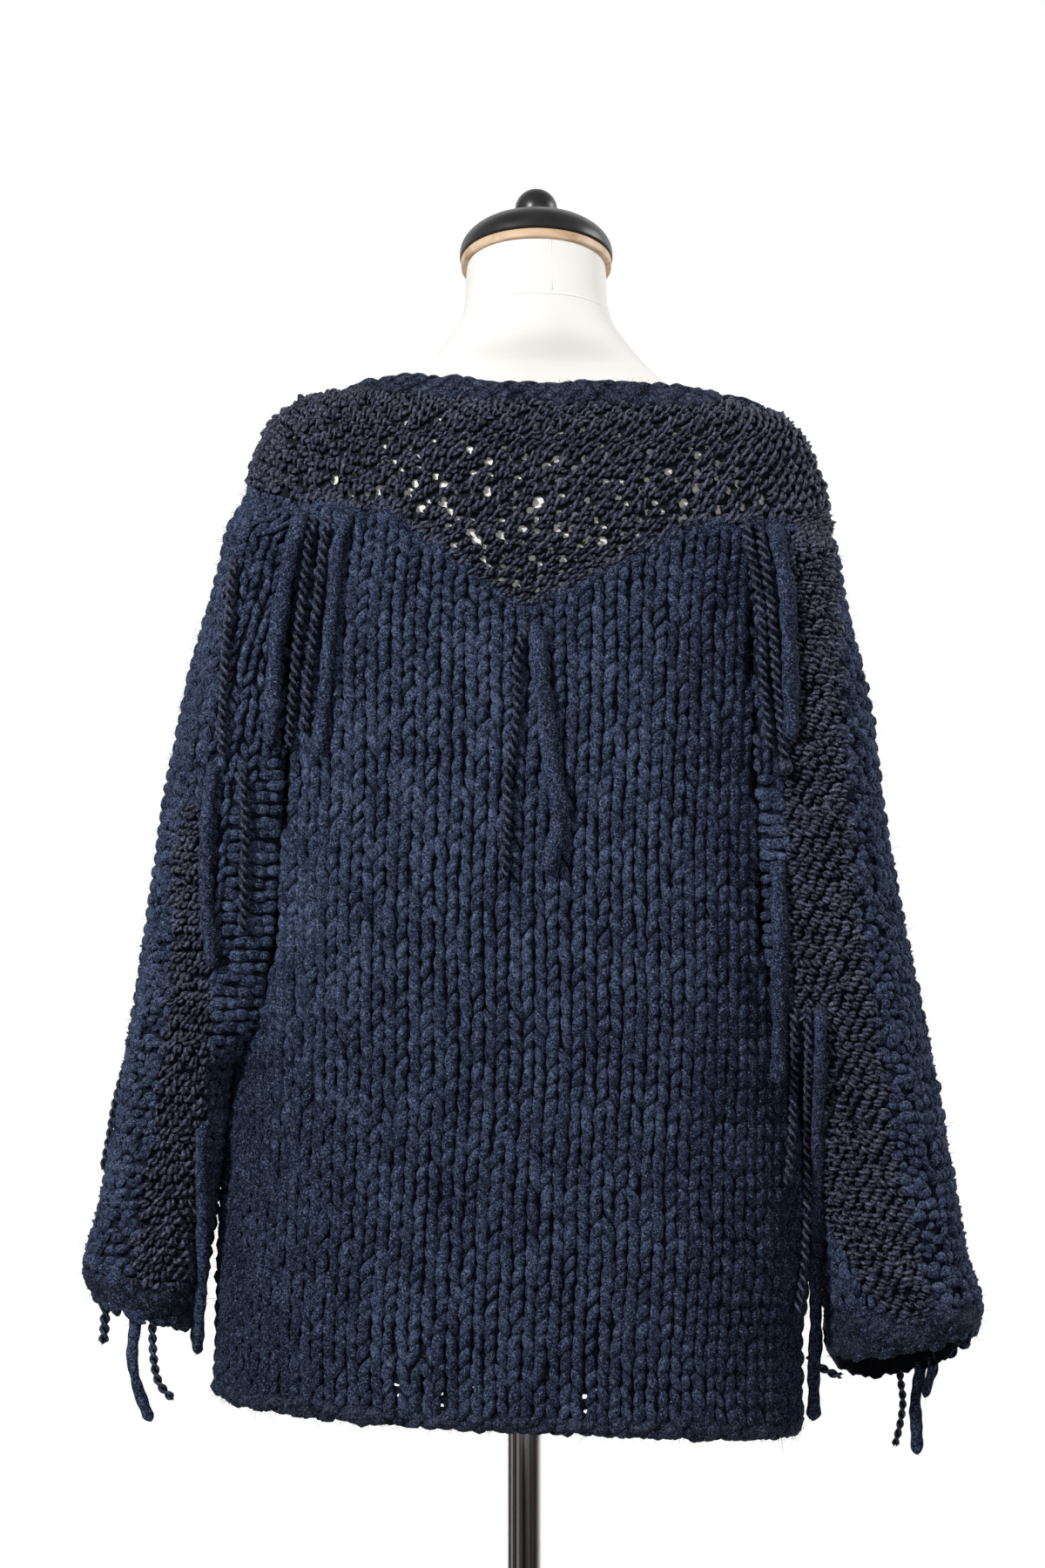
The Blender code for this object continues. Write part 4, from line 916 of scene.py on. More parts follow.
def moss_sites(edges, v_top, v_low, across, down, stagger=0.5):
    """Staggered places over a panel. stagger is how far a row is shifted from the one above, in places."""
    us, vs = [], []
    for number in range(int((v_low - v_top) // down)):
        v = v_top + down * (number + 0.5)
        low, high = edges(v)
        line = np.arange(math.ceil(low / across) - 1, math.floor(high / across) + 1) * across
        line = line + number * stagger % 1 * across
        line = line[(line > low + 2) & (line < high - 2)]
        us.append(line)
        vs.append(np.full(len(line), v))
    return np.concatenate(us), np.concatenate(vs)


def wave(us, vs):
    """The rows of the yoke are not quite level."""
    long_wave = 1.6 * np.sin(us / 31.0 + 0.7) + 0.9 * np.sin(us / 13.0 + vs / 17.0)
    return long_wave + 0.7 * np.sin(us / 7.0 - vs / 11.0)


def yoke_holes(us, vs):
    """Holes of uneven size between the bumps, in the region where the photo shows them."""
    beside = us + MOSS_ACROSS / 2
    places = BODY_MAP.at(beside, vs)
    across, down = pixel_x(places), pixel_y(places)
    middle = (across > OPEN_MIDDLE_PX[0]) & (across < OPEN_MIDDLE_PX[1])
    chance = HOLE_CHANCE * between(across, *OPEN_LEFT_PX) * between(across, *OPEN_RIGHT_PX)
    chance *= between(down, *OPEN_TOP_PX)
    chance *= np.where(across < MORE_OPEN_PX, 1.6, np.where(middle, 1.2, 1.0))
    chosen = (random.random(len(us)) < chance) & (yoke_low(beside, vs) - vs > 4)
    sizes = random.random(chosen.sum()) ** 2.6 * (0.3 + 0.7 * between(down[chosen], *WIDE_PX))
    holes = []
    for u, v, wide in zip(us[chosen], vs[chosen], sizes):
        u, v = u + MOSS_ACROSS / 2 + random.normal(0, 0.6), v + wave(u, v) + random.normal(0, 0.5)
        if all(math.hypot(u - other[0], 1.2 * (v - other[1])) > HOLE_SPACING for other in holes):
            holes.append((u, v, 2.5 + 1.6 * wide, 2.8 + 2.0 * wide))
    return holes


def yoke_grid(edges, bottom, rows, columns):
    """The yoke is cut at the V behind, and level elsewhere."""
    share = np.linspace(0, 1, columns)
    left, right = edges(YOKE_RUN)
    low = bottom(left + (right - left) * share) if callable(bottom) else np.full(columns, bottom)
    grid_v = 0.3 + (low[None, :] + 2.4) * np.linspace(0, 1, rows)[:, None]
    left, right = edges(np.minimum(grid_v, YOKE_RUN))
    return left + 0.3 + (right - left - 0.6) * share[None, :], grid_v


def back_yoke_bottom(us):
    return np.where(np.abs(us) < 175, yoke_low(us, YOKE_RUN), YOKE_RUN)


def shoulder_lift(us, vs):
    """How far the yoke swells beside the ends of the neckband."""
    low, high = yoke_back_edges(vs)
    return ease((18 - vs) / 14) * ease((np.where(us < 0, us / low, us / high) - 0.62) / 0.25)


def moss(heap, surface, us, vs, template, lean=0.0, gaps=(), out=0.0):
    shown_u, shown_v = pushed(us, vs + wave(us, vs), gaps, 0.90)
    moved = np.hypot(shown_u - us, shown_v - vs - wave(us, vs)) if gaps else np.zeros(len(us))
    place(heap, surface, template, shown_u, shown_v, turn=lean, size=1 - 0.09 * np.clip(moved, 0, 2.2),
          out=out, spread=(0.20, 0.10, 0.7))


us, vs = moss_sites(yoke_back_edges, 2.0, YOKE_RUN + YOKE_TIP_DEPTH + 4, MOSS_ACROSS, MOSS_DOWN)
inside = vs < yoke_low(us, vs) - 0.5 + random.normal(0, 2.0, len(us))
inside &= (vs < YOKE_RUN) | ((us > back_edges(vs)[0]) & (us < back_edges(vs)[1]))
us, vs = us[inside], vs[inside]
HOLES = yoke_holes(us, vs)
yoke_back_cloth = shell("yoke_back_cloth", BODY_MAP, yoke_grid(yoke_back_edges, back_yoke_bottom, 96, 200),
                        OPEN_YOKE_WALL, SHADED_CHARCOAL_CORE, HOLES)
yoke_front_cloth = shell("yoke_front_cloth", FRONT_MAP, yoke_grid(yoke_front_edges, YOKE_RUN, 24, 70),
                         PLAIN_YOKE_WALL, SHADED_CHARCOAL_CORE)
back_knit, front_knit = Heap(), Heap()
moss(back_knit, BODY_MAP, us, vs, MOSS_BUMP, -0.42, HOLES, shoulder_lift(us, vs) - 0.3)
us = np.arange(-170.0, 170.0, 8.6)
vs = YOKE_RUN + 20.0
for _ in range(4):
    vs = yoke_low(us, vs) - 2.5
slope = np.arctan2(np.gradient(vs), np.gradient(us)) * 0.6 - 0.15
place(back_knit, BODY_MAP, MOSS_BUMP, us, vs, turn=slope, out=0.9, spread=(0.4, 0.12, 1.5))
vs = np.arange(3.0, YOKE_RUN, 5.4)
for shoulder_seam in yoke_back_edges(vs):
    place(back_knit, BODY_MAP, MOSS_BUMP_PLAIN, shoulder_seam, vs, turn=0.3, out=0.4, spread=(0.5, 0.12, 0.7))
us, vs = moss_sites(yoke_front_edges, 2.0, YOKE_RUN + 3.5, MOSS_ACROSS, MOSS_DOWN)
moss(front_knit, FRONT_MAP, us, vs, MOSS_BUMP_PLAIN)
yoke_back_stitches = back_knit.build("yoke_back_stitches", CHARCOAL)
yoke_front_stitches = front_knit.build("yoke_front_stitches", CHARCOAL)


# The sleeves.

# Where the charcoal panel shows on each sleeve, as (down, left, right) in the photo's pixels.
PANELS = {
    "left": ((925, 212, 230), (1000, 202, 236), (1100, 200, 238), (1200, 187, 238), (1300, 176, 233),
             (1400, 160, 226), (1450, 152, 216), (1474, 160, 204)),
    "right": ((585, 912, 948), (700, 905, 960), (800, 902, 966), (900, 902, 970), (1000, 905, 980),
              (1100, 908, 993), (1200, 925, 1008), (1300, 943, 1023), (1400, 950, 1044), (1450, 978, 1056),
              (1500, 1012, 1074), (1514, 1030, 1066)),
}
CUFF_V = v_at(CUFF_TOP)
# Farther round to the front than this the sleeve has plainer stitches.
FRONT_U = -30
RIDGE_TOP = 318.0
RIDGE_LOW = 606.0
SLEEVE_LEG = leaf_template(16.5, 7.5, 4.2, 4.0, rings=6, arc=4, fullness=0.56, dive=0.75)
SLEEVE_LEG_PLAIN = leaf_template(16.5, 7.5, 4.2, 4.0, rings=5, arc=3, fullness=0.56, dive=0.75)
BEAD = cord_template(8.8, 3.1, 11.0, rings=6, sides=4, arch=0.95)
LUMP = sideways(leaf_template(13.0, 8.0, 3.8, 1.0, rings=6, fullness=0.5))
RIDGE = sideways(leaf_template(17.0, 8.4, 3.6, 0.6, rings=6))


def strip_edges(side):
    """The u of the charcoal panel's edges at each v of the surface, and the v where it begins and ends."""
    surface = SLEEVE_MAP[side]
    table = np.array(PANELS[side], float)
    ends, downs = [], []
    for row, v in enumerate(surface.vs):
        span = np.linspace(0, surface.high_u[row], 60)
        points = surface.at(span, v)
        across = pixel_x(points)
        down = float(np.median(pixel_y(points)[:40]))
        limits = [np.interp(down, table[:, 0], table[:, i]) for i in (1, 2)]
        order = np.argsort(across)
        ends.append(sorted(np.interp(limits, across[order], span[order])))
        downs.append(down)
    low, high = np.transpose(ends)
    return low, high, *(float(np.interp(table[i, 0], downs, surface.vs)) for i in (0, -1))


STRIPS = {side: strip_edges(side) for side in SIDES}


def in_panel(side, us, vs, grow=0.0):
    low, high, starts, stops = STRIPS[side]
    left, right = (np.interp(vs, SLEEVE_MAP[side].vs, ends) for ends in (low, high))
    return (us > left - grow) & (us < right + grow) & (vs > starts - grow) & (vs < stops + grow)


def sleeve_knit(side):
    surface = SLEEVE_MAP[side]
    low, high, starts, stops = STRIPS[side]
    is_right = side == "right"
    lean = 1 if is_right else -1
    band = 24.0 if is_right else 26.0

    def edges(v):
        return sleeve_edges(side, v)

    def strip_at(v):
        return np.interp(v, surface.vs, low), np.interp(v, surface.vs, high)

    def on_band(us, vs):
        left = strip_at(vs)[0]
        first = left - band if is_right else np.maximum(left - band, 4.0)
        return (us > first) & (us < left + 3) & (vs > starts)

    def ridge_start(vs):
        share = ease((vs - RIDGE_TOP) / 40) * ease((RIDGE_LOW - vs) / 90)
        return np.maximum(strip_at(vs)[1] + 5, edges(vs)[1] - 12 - 26 * share)

    def back_part(us, vs):
        on_ridges = (us > ridge_start(vs) - 4) & (vs > RIDGE_TOP) & (vs < RIDGE_LOW)
        return (us > FRONT_U) & ~on_band(us, vs) & ~on_ridges & ~in_panel(side, us, vs)

    def flatter(us, vs):
        """The stitches lie flatter at the outermost line and in the upper part."""
        return (1 - 0.40 * ease(1 - np.abs(us) / 20)) * (1 - 0.15 * ease((starts - vs) / 60))

    cloth = shell("sleeve_%s_cloth" % side, surface,
                  panel_grid(edges, YOKE_RUN + 0.3, CUFF_V - 0.3, 64, 40, 0.2), SLEEVE_WALL, SHADED_NAVY_CORE)
    navy, dark = Heap(), Heap()
    # Beads of the charcoal panel.
    us, vs = moss_sites(lambda v: (strip_at(v)[0] - 3, strip_at(v)[1] + 3), starts - 2, stops + 2, 8.4, 5.9,
                        stagger=0.5 - 0.06 * lean)
    place(dark, surface, BEAD, us, vs, turn=0.50 * lean, out=-1.2 * ease(1 - np.abs(us) / 12),
          spread=(0.36, 0.12, 0.8))
    # A lumpy navy band on the outer side of the panel, and ridges beside the back seam.
    us, vs = moss_sites(edges, YOKE_RUN + 2, CUFF_V, 10.5, 6.8)
    lumps = on_band(us, vs) & ~in_panel(side, us, vs, -1)
    place(navy, surface, LUMP, us[lumps], vs[lumps], turn=0.35 * lean, spread=(0.5, 0.20, 1.6))
    for v in np.arange(RIDGE_TOP, min(RIDGE_LOW, CUFF_V), 8.8):
        first, last = float(ridge_start(v)) - 5, float(edges(v)[1]) - 2
        if last - first >= 4:
            count = max(1, int(round((last - first) / 11.0)))
            us = first + (last - first) * (np.arange(count) + 0.5) / count
            place(navy, surface, RIDGE, us, np.full(count, v), turn=0.10, spread=(0.16, 0.12, 1.1))
    stockinette(navy, surface, edges, CUFF_V, SLEEVE_WALE, SLEEVE_ROW, SLEEVE_LEG, back_part, flatter,
                spread=(0.17, 0.13, 0.9))
    stockinette(navy, surface, edges, CUFF_V, SLEEVE_WALE, SLEEVE_ROW, SLEEVE_LEG_PLAIN,
                lambda us, vs: us <= FRONT_U, flatter)
    # The thin charcoal chain down the outermost line.
    chain = np.arange(v_at(1080 if is_right else 1010), CUFF_V - 6, 6.5)
    place(dark, surface, BEAD, np.full(len(chain), 1.0), chain, turn=math.pi / 2 - 0.4, size=1.02, out=-1.6,
          spread=(0.1, 0.06, 0.3))
    us, vs = moss_sites(edges, CUFF_V - 5, v_at(CUFF_BOTTOM) - 2, 12.0, 7.0)
    kept = ~in_panel(side, us, vs, 1) & (us > -60)
    place(navy, surface, LUMP, us[kept], vs[kept], depth=0.6, out=1.4, spread=(0.35, 0.20, 1.6), tone=-0.9)
    return (cloth, navy.build("sleeve_%s_stitches" % side, NAVY),
            dark.build("sleeve_%s_beads" % side, CHARCOAL))


SLEEVE_PIECES = {side: sleeve_knit(side) for side in SIDES}


# Bands.

# The neckband's upper and lower lines behind, in the photo's pixels.
NECK_TOP = ((431, 433), (447, 430), (462, 429), (486, 431), (510, 430), (530, 433), (562, 437), (640, 437),
            (680, 434), (720, 435), (740, 436), (772, 439), (800, 442), (829, 449))
NECK_FOOT = ((431, 447), (470, 453), (510, 457), (550, 462), (640, 464), (690, 466), (720, 467), (744, 467),
             (772, 467), (800, 467), (829, 467))
ALL_ROUND = np.linspace(-np.pi, np.pi, 720, endpoint=False)
# The band's strokes carry painted shade: lighter on their crests, darker towards their edges and ends.
NECK_STROKE = sideways(leaf_template(25.0, 8.4, 2.6, 0.0, rings=8, fullness=0.4, painted_shading=3.0))
HEM_STROKE = sideways(leaf_template(19.0, 9.8, 3.5, 0.0, fullness=0.45, painted_shading=2.2))


def even_loop(points, count):
    """A closed line of points cut anew into even steps, and its length."""
    looped = np.concatenate([points, points[:1]])
    arc = run_along(looped)
    return resampled(looped, arc, np.linspace(0, arc[-1], count, endpoint=False)), arc[-1]


def band(name, centres, outward, upward, half_thickness, half_height, length, template, turns, spacing, angle,
         spread):
    """A band with slanted strokes, in a row at each turn of its section, in degrees. On its surface u runs
    along it, and v round its section: from the top, outwards, down and back up inside."""
    turn = np.linspace(0, 2 * np.pi, 25)
    half_height = np.broadcast_to(half_height, len(centres))
    perimeter = 2 * np.pi * math.sqrt((half_thickness ** 2 + half_height.mean() ** 2) / 2)
    side = outward[None] * (half_thickness * np.sin(turn))[:, None, None]
    rise = upward[None] * (half_height[None, :] * np.cos(turn)[:, None])[:, :, None]
    normals = outward[None] * (np.sin(turn) / half_thickness)[:, None, None]
    normals = normals + upward[None] * (np.cos(turn)[:, None] / half_height[None, :])[:, :, None]
    points, normals = (np.concatenate([rows, rows[:, :1]], axis=1)
                       for rows in (centres[None] + side + rise, normals))
    surface = Surface(np.linspace(0, length, len(centres) + 1), turn / (2 * np.pi) * perimeter, points,
                      normals)
    core = tube_mesh(name[0], points[:-1, :-1].transpose(1, 0, 2) * MM, [SHADED_NAVY_CORE], closed=True)
    heap = Heap()
    count = int(round(length / spacing))
    for number, around in enumerate(turns):
        us = (np.arange(count) + 0.5 * (number % 2)) * length / count
        place(heap, surface, template, us, np.full(count, around / 360 * perimeter), turn=angle,
              spread=spread)
    return surface, perimeter, core, heap.build(name[1], FELT)


def neckline():
    """The neckband's middle line, its directions out and up, its length and its half height."""
    edge, length = even_loop(body_ring(0.0, ALL_ROUND), 240)
    below, _ = even_loop(body_ring(15.7, ALL_ROUND), 240)
    ahead = unit(np.roll(edge, -1, axis=0) - np.roll(edge, 1, axis=0))
    rise = unit(edge - below)
    out = facing_out(unit(np.cross(ahead, rise)), edge)
    upward = unit(rise * 0.5 + np.array([0, 0, 0.5]))
    out = unit(out - upward * np.sum(out * upward, axis=1, keepdims=True))
    # Behind, the band follows the photo's lines. In front it has an even height.
    across = pixel_x(edge * MM)
    top, foot = (CAMERA[2] / MM + (MIDDLE_PX[1] - np.interp(across, *np.transpose(line)))
                 * (edge[:, 1] - CAMERA[1] / MM) / FOCAL_PX for line in (NECK_TOP, NECK_FOOT))
    behind = ease((-out[:, 1] - 0.05) / 0.35)
    inset = 4.0 - 1.2 * behind
    lift = ((top - 1.6 + foot) / 2 - edge[:, 2] + out[:, 2] * inset) / upward[:, 2]
    lift = 7.3 + (lift - 7.3) * behind
    half_height = 6.6 + ((top - 1.6 - foot) / 2 / upward[:, 2] - 6.6) * behind
    return edge + upward * lift[:, None] - out * inset[:, None], out, upward, 3.4, half_height, length


def hem_line():
    edge, length = even_loop(body_points(np.full(720, HEM_TOP), ALL_ROUND), 260)
    ahead = np.roll(edge, -1, axis=0) - np.roll(edge, 1, axis=0)
    out = facing_out(unit(np.stack([ahead[:, 1], -ahead[:, 0], ahead[:, 0] * 0], axis=1)), edge)
    upward = np.zeros_like(out) + np.array([0, 0, 1.0])
    return edge - out * 4.0 - np.array([0, 0, 5.6]), out, upward, 4.4, 6.0, length


NECK = neckline()
NECK_ENDS = NECK[0][[np.argmin(NECK[0][:, 0]), np.argmax(NECK[0][:, 0])]]
NECK_BAND, neck_perimeter, neckband_core, neckband_strokes = band(
    ("neckband_core", "neckband_strokes"), *NECK, NECK_STROKE, (15, 62, 110, 160, 290), 16.0, -0.24,
    (0.16, 0.14, 1.3))
HEM = hem_line()
HEM_BAND, hem_perimeter, hem_core, hem_strokes = band(
    ("hem_core", "hem_strokes"), *HEM, HEM_STROKE, (30, 78, 128, 180, 262), 13.0, -0.40, (0.28, 0.18, 1.8))


# Cuffs.

CUFF_SECTION = ((699.3, -0.8), (702, 1.6), (706, 2.9), (711, 3.4), (716, 3.5), (721, 3.2), (725.5, 2.4),
                (729, 0.9), (731.6, -1.4), (732.6, -3.8), (731.4, -6.8), (724, -8.2), (712, -8.2), (700, -7.6),
                (699.3, -4.0))
CUFF_OUTSIDE = 9
# Painted shade: how much darker each cuff's felt is painted.
CUFF_SHADE = {"left": 1.1, "right": 0.4}
# How far each cuff's back lip is drawn up, at places round it from the outermost line backwards.
CUFF_RISE = {"right": ((-60, 0), (-30, 4), (-6, 7), (20, 7), (60, 5), (90, 2), (120, 0)),
             "left": ((-60, 0), (-20, 4), (10, 9), (40, 9), (70, 6), (100, 2), (120, 0))}


def cuff(side):
    count = 190
    share = np.arange(count) / count
    turn = share * 2 * np.pi
    places, rises = np.array(CUFF_RISE[side], float).T
    rings, tones = [], []
    for v, out in CUFF_SECTION:
        low, high = sleeve_edges(side, v)
        us = low + (high - low) * share
        lumps = 0.9 * np.sin(7 * turn + v / 5.0) + 0.8 * np.sin(17 * turn - v / 3.0)
        lumps += 0.7 * np.sin(31 * turn + v / 2.2)
        lumps += 0.5 * np.sin(53 * turn - v / 1.4)
        rise = np.interp(us, places, rises) * ease((v - 706) / 24) + 0.9 * lumps * ease((v - 716) / 14)
        bulge = lumps * (0.9 if out > 0 else 0.3)
        rings.append(SLEEVE_MAP[side].at(us, np.full(count, v) - rise, out + bulge))
        # Painted shade: the felt is painted lighter on its bulges and darker between them, and darker by each
        # cuff's painted shade.
        tones.append(0.7 * lumps - CUFF_SHADE[side])
    obj = tube_mesh("cuff_%s_felt" % side, np.array(rings).transpose(1, 0, 2), [FELT, SHADED_INSIDE], closed=True)
    obj.data.attributes["tone"].data.foreach_set("value", np.array(tones, np.float32).T.ravel())
    # Faces inside the cuff get the felt painted dark for the shade inside it.
    along = np.arange(len(obj.data.polygons)) % len(CUFF_SECTION)
    obj.data.polygons.foreach_set("material_index", (along >= CUFF_OUTSIDE).astype(np.int32))
    return obj


CUFFS = {side: cuff(side) for side in SIDES}


# Loose ends.

# Strands over the knit: half width, then (x, z) down the strand.
DRAPED_GROUPS = {
    "ends_yoke_left": (
        (ROVING, ((-163, 1318), (-172, 1284), (-178, 1246), (-182, 1200), (-184, 1158))),
        (TWIST + 0.3, ((-154, 1316), (-158, 1284), (-164, 1236), (-168, 1192), (-171, 1156))),
        (TWIST + 0.3, ((-143, 1316), (-147, 1282), (-153, 1232), (-157, 1196), (-159, 1168))),
        (ROVING - 1, ((-129, 1316), (-135, 1298), (-139, 1250), (-144, 1198), (-148, 1152))),
    ),
    "ends_yoke_point": (
        (TWIST + 0.4, ((-1, 1238), (-5, 1215), (-5, 1184), (-11, 1137), (-12, 1100), (-14, 1063))),
        (ROVING + 0.5, ((10, 1232), (11, 1212), (16, 1176), (19, 1148), (25, 1108), (17, 1066))),
    ),
    "ends_yoke_right": (
        (TWIST + 0.3, ((160, 1314), (167, 1284), (172, 1250), (173, 1205), (178, 1152))),
        (TWIST + 0.3, ((171, 1308), (177, 1270), (180, 1240), (183, 1200), (188, 1146))),
        (ROVING, ((183, 1308), (188, 1280), (191, 1250), (192, 1210), (193, 1162))),
    ),
    "end_left_sleeve_top": (
        (TWIST, ((-212, 1286), (-215, 1240), (-218, 1195), (-219, 1150))),
    ),
    "ends_left_sleeve": (
        (ROVING - 1, ((-226, 1136), (-230, 1100), (-230, 1040), (-226, 997))),
        (TWIST, ((-204, 1136), (-202, 1100), (-203, 1060), (-204, 1022))),
    ),
    "end_left_inner": (
        (ROVING - 1.5, ((-236, 872), (-236, 820), (-237, 770), (-240, 740), (-242, 708))),
    ),
    "end_right_crease": (
        (ROVING, ((184, 1064), (185, 1010), (185.5, 960), (185.5, 912))),
    ),
    "ends_right_side": (
        (TWIST, ((196, 960), (197, 920), (196, 880), (192, 838))),
        (TWIST, ((206, 960), (207, 910), (208, 850), (206, 785), (200, 742))),
        (ROVING - 1.2, ((215, 960), (215, 900), (216, 800), (217, 735), (215, 656))),
    ),
}
# Strands under a cuff: half width, the place round the sleeve in columns of 18, then (x, y, z) steps.
CUFF_GROUPS = {
    "end_left_cuff_outer": ("left", (
        (TWIST + 0.3, 8.0, ((0, 0, 0), (-1, -1, -9), (-1, -2, -17), (-2, -2, -24))),
    )),
    "ends_left_cuff": ("left", (
        (TWIST + 0.8, 5.2, ((0, 0, 0), (-2, -2, -24), (2, -3, -46), (12, -3, -70))),
        (TWIST - 0.3, 4.3, ((0, 0, 0), (1, -2, -20), (5, -3, -38), (15, -3, -50))),
    )),
    "ends_right_cuff": ("right", (
        (TWIST - 0.6, 13.35, ((0, 0, 0), (2, 1, -18), (0, 1, -35), (-4, 1, -52))),
        (ROVING - 1.5, 12.55, ((0, 0, 0), (-3, 1, -20), (-3, 1, -40), (-2, 1, -62))),
        (ROVING - 2, 11.9, ((0, 0, 0), (-2, 1, -7), (-4, 1, -14), (-6, 1, -22))),
    )),
}
EDGE_END = (TWIST - 0.5, (905, 880, 855, 830))
# The small cord that shows past the long strand beside the hem, from a place on that strand.
SIDE_END = ((-4, 4, 6), (1, 4, 0), (7, 2, -4), (13, 1, -7), (20, 1, -9))
SIDE_END_HEIGHT = 0.698
CUFF_SHIFT = 5.0
# Strands thinner than this are twisted cords, and the others soft roving.
THICKEST_CORD = 4.0
STRAND_LINES = []


def knit_tree():
    """The knit's crests as seen from behind, for laying strands on them."""
    points, faces, count = [], [], 0
    grids = [(BODY_MAP, panel_grid(back_edges, YOKE_RUN, v_at(662), 90, 60, 0)),
             (BODY_MAP, yoke_grid(yoke_back_edges, YOKE_RUN, 20, 70))]
    for side in SIDES:
        grids.append((SLEEVE_MAP[side], panel_grid(lambda v: sleeve_edges(side, v), YOKE_RUN + 0.3,
                                                   v_at(CUFF_BOTTOM), 90, 50, 0)))
    for surface, (us, vs) in grids:
        points.append(surface.at(us, vs, 1.8).reshape(-1, 3))
        faces.append(grid_faces(*us.shape) + count)
        count += us.size
    return BVHTree.FromPolygons(np.concatenate(points).tolist(), np.concatenate(faces).tolist())


TREE = knit_tree()


def spline(route, step):
    """Even points on a smooth curve through a route, in metres."""
    route = np.asarray(route, float)
    ends = np.concatenate([[2 * route[0] - route[1]], route, [2 * route[-1] - route[-2]]])
    points = []
    for i in range(1, len(ends) - 2):
        a, b, c, d = ends[i - 1:i + 3]
        t = np.linspace(0, 1, 12, endpoint=False)[:, None]
        points.append(0.5 * (2 * b + (c - a) * t + (2 * a - 5 * b + 4 * c - d) * t ** 2
                             + (3 * b - a - 3 * c + d) * t ** 3))
    points = np.concatenate(points + [route[-1:]])
    arc = run_along(points)
    return resampled(points, arc, np.linspace(0, arc[-1], max(4, int(arc[-1] / step))))


def is_twist(half):
    return half < THICKEST_CORD


def draped(half, route):
    """The route laid over the knit's back, falling straight past an edge, its root tucked into the knit."""
    (x, z), (next_x, _) = route[:2]
    route = [(x + (x - next_x) * 0.2, z + 8.0)] + list(route)
    line = spline([(x * MM, 0.0, z * MM) for x, z in route], 2.0 * MM)
    reach = half * MM
    ys = []
    for x, _, z in line:
        hits = [TREE.ray_cast(Vector((x + u * reach, -1.0, z)), Vector((0, 1, 0)))[0]
                for u in (-1, -0.5, 0, 0.5, 1)]
        hits = [hit.y for hit in hits if hit]
        ys.append(min(hits) - reach * (1.0 if is_twist(half) else 0.75) - 2.6 * MM if hits else ys[-1])
    low = [min(ys[max(0, i - 3):i + 4]) for i in range(len(ys))]
    for i in range(1, len(low)):
        low[i] = min(low[i], low[i - 1] + 0.0012)
    line[:, 1] = np.convolve(np.pad(low, 3, mode="edge"), np.ones(7) / 7, mode="valid")
    line[:6, 1] += np.array([9.0, 7.0, 5.0, 3.0, 1.5, 0.5]) * MM
    return line


def strand_frame(line, step):
    """Finer points along a line, their directions sideways and outwards, and the run in millimetres."""
    fine = spline(line, step * MM)
    ahead = unit(np.gradient(fine, axis=0))
    side = unit(np.cross(ahead, np.array([0.0, -1.0, 0.05])))
    return fine, side, unit(np.cross(side, ahead)), run_along(fine) / MM


def add_strand(heap, rings, tip, around, along, tone, shift=0.0):
    """Adds rings of points along a strand, closed at its end by a fan round the tip."""
    count, sides = rings.shape[:2]
    uv = np.concatenate([grid_uv(np.linspace(0, around, sides), along + shift), [[0, along[-1]]]])
    heap.add(np.concatenate([rings.reshape(-1, 3), tip]), grid_faces(count, sides, wrap=True), uv,
             np.append(tone, 0.0))
    j = np.arange(sides)
    end = (count - 1) * sides
    fan = np.stack([end + j, end + (j + 1) % sides, np.full(sides, count * sides)], axis=1)
    heap.faces.append(fan + heap.count - (count * sides + 1))


def twisted_cord(heap, line, half, pitch=15.0, sides=6):
    """Two plies wound round each other along a line."""
    fine, side, out, arc = strand_frame(line, 1.35)
    size = np.clip((arc[-1] - arc) / 1.6 + 0.10, 0.10, 1.0) ** 0.5
    turn = circle(sides)
    ring = side[:, None] * np.cos(turn)[None, :, None] + out[:, None] * np.sin(turn)[None, :, None]
    for number in range(2):
        phase = 2 * np.pi * arc / pitch + np.pi * number
        centre = fine + (side * np.cos(phase)[:, None] + out * np.sin(phase)[:, None]) * (half * 0.52 * MM)
        rings = centre[:, None] + ring * (half * 0.60 * size[:, None, None] * MM)
        # Painted shade: each ply is painted darker in the groove between the plies and lighter on its outer
        # side.
        tone = 1.5 * np.cos(turn[None, :] - phase[:, None]) - 0.1
        add_strand(heap, rings, centre[-1:] + (fine[-1] - fine[-2]), 1.6, arc / 6, tone, number * 0.5)


def soft_strand(heap, line, half, flat=0.7, taper=4.5, sides=14):
    """A length of unspun roving, uneven in width, with a blunt end."""
    fine, side, out, arc = strand_frame(line, 1.6)
    shift = random.random() * 20
    size = 1 + 0.08 * np.sin(arc / 9.0 + shift) + 0.07 * np.sin(arc / 4.1 + 2 * shift)
    size += 0.05 * np.sin(arc / 1.9 + 3 * shift)
    size *= np.clip((arc[-1] - arc) / taper, 0, 1) ** 0.55 * 0.86 + 0.14
    turn = circle(sides)
    ripple = 1 + 0.07 * np.sin(3 * turn[None] + arc[:, None] / 11.0)
    ripple += 0.05 * np.sin(5 * turn[None] - arc[:, None] / 7.0)
    ring = side[:, None] * np.cos(turn)[None, :, None] + out[:, None] * (flat * np.sin(turn))[None, :, None]
    rings = fine[:, None] + ring * (half * size[:, None] * ripple)[..., None] * MM
    # Painted light and shade: the roving is painted lighter on its crest and left side, darker on its right
    # side and underneath, plus a random tone.
    lit = 0.8 * np.sin(turn) + 0.9 * np.cos(turn) + 0.5 * random.random() - 1.15
    add_strand(heap, rings, fine[-1:], 2.0, arc / 14, np.tile(lit, len(fine)))
    STRAND_LINES.append((fine, half * size, side, out))


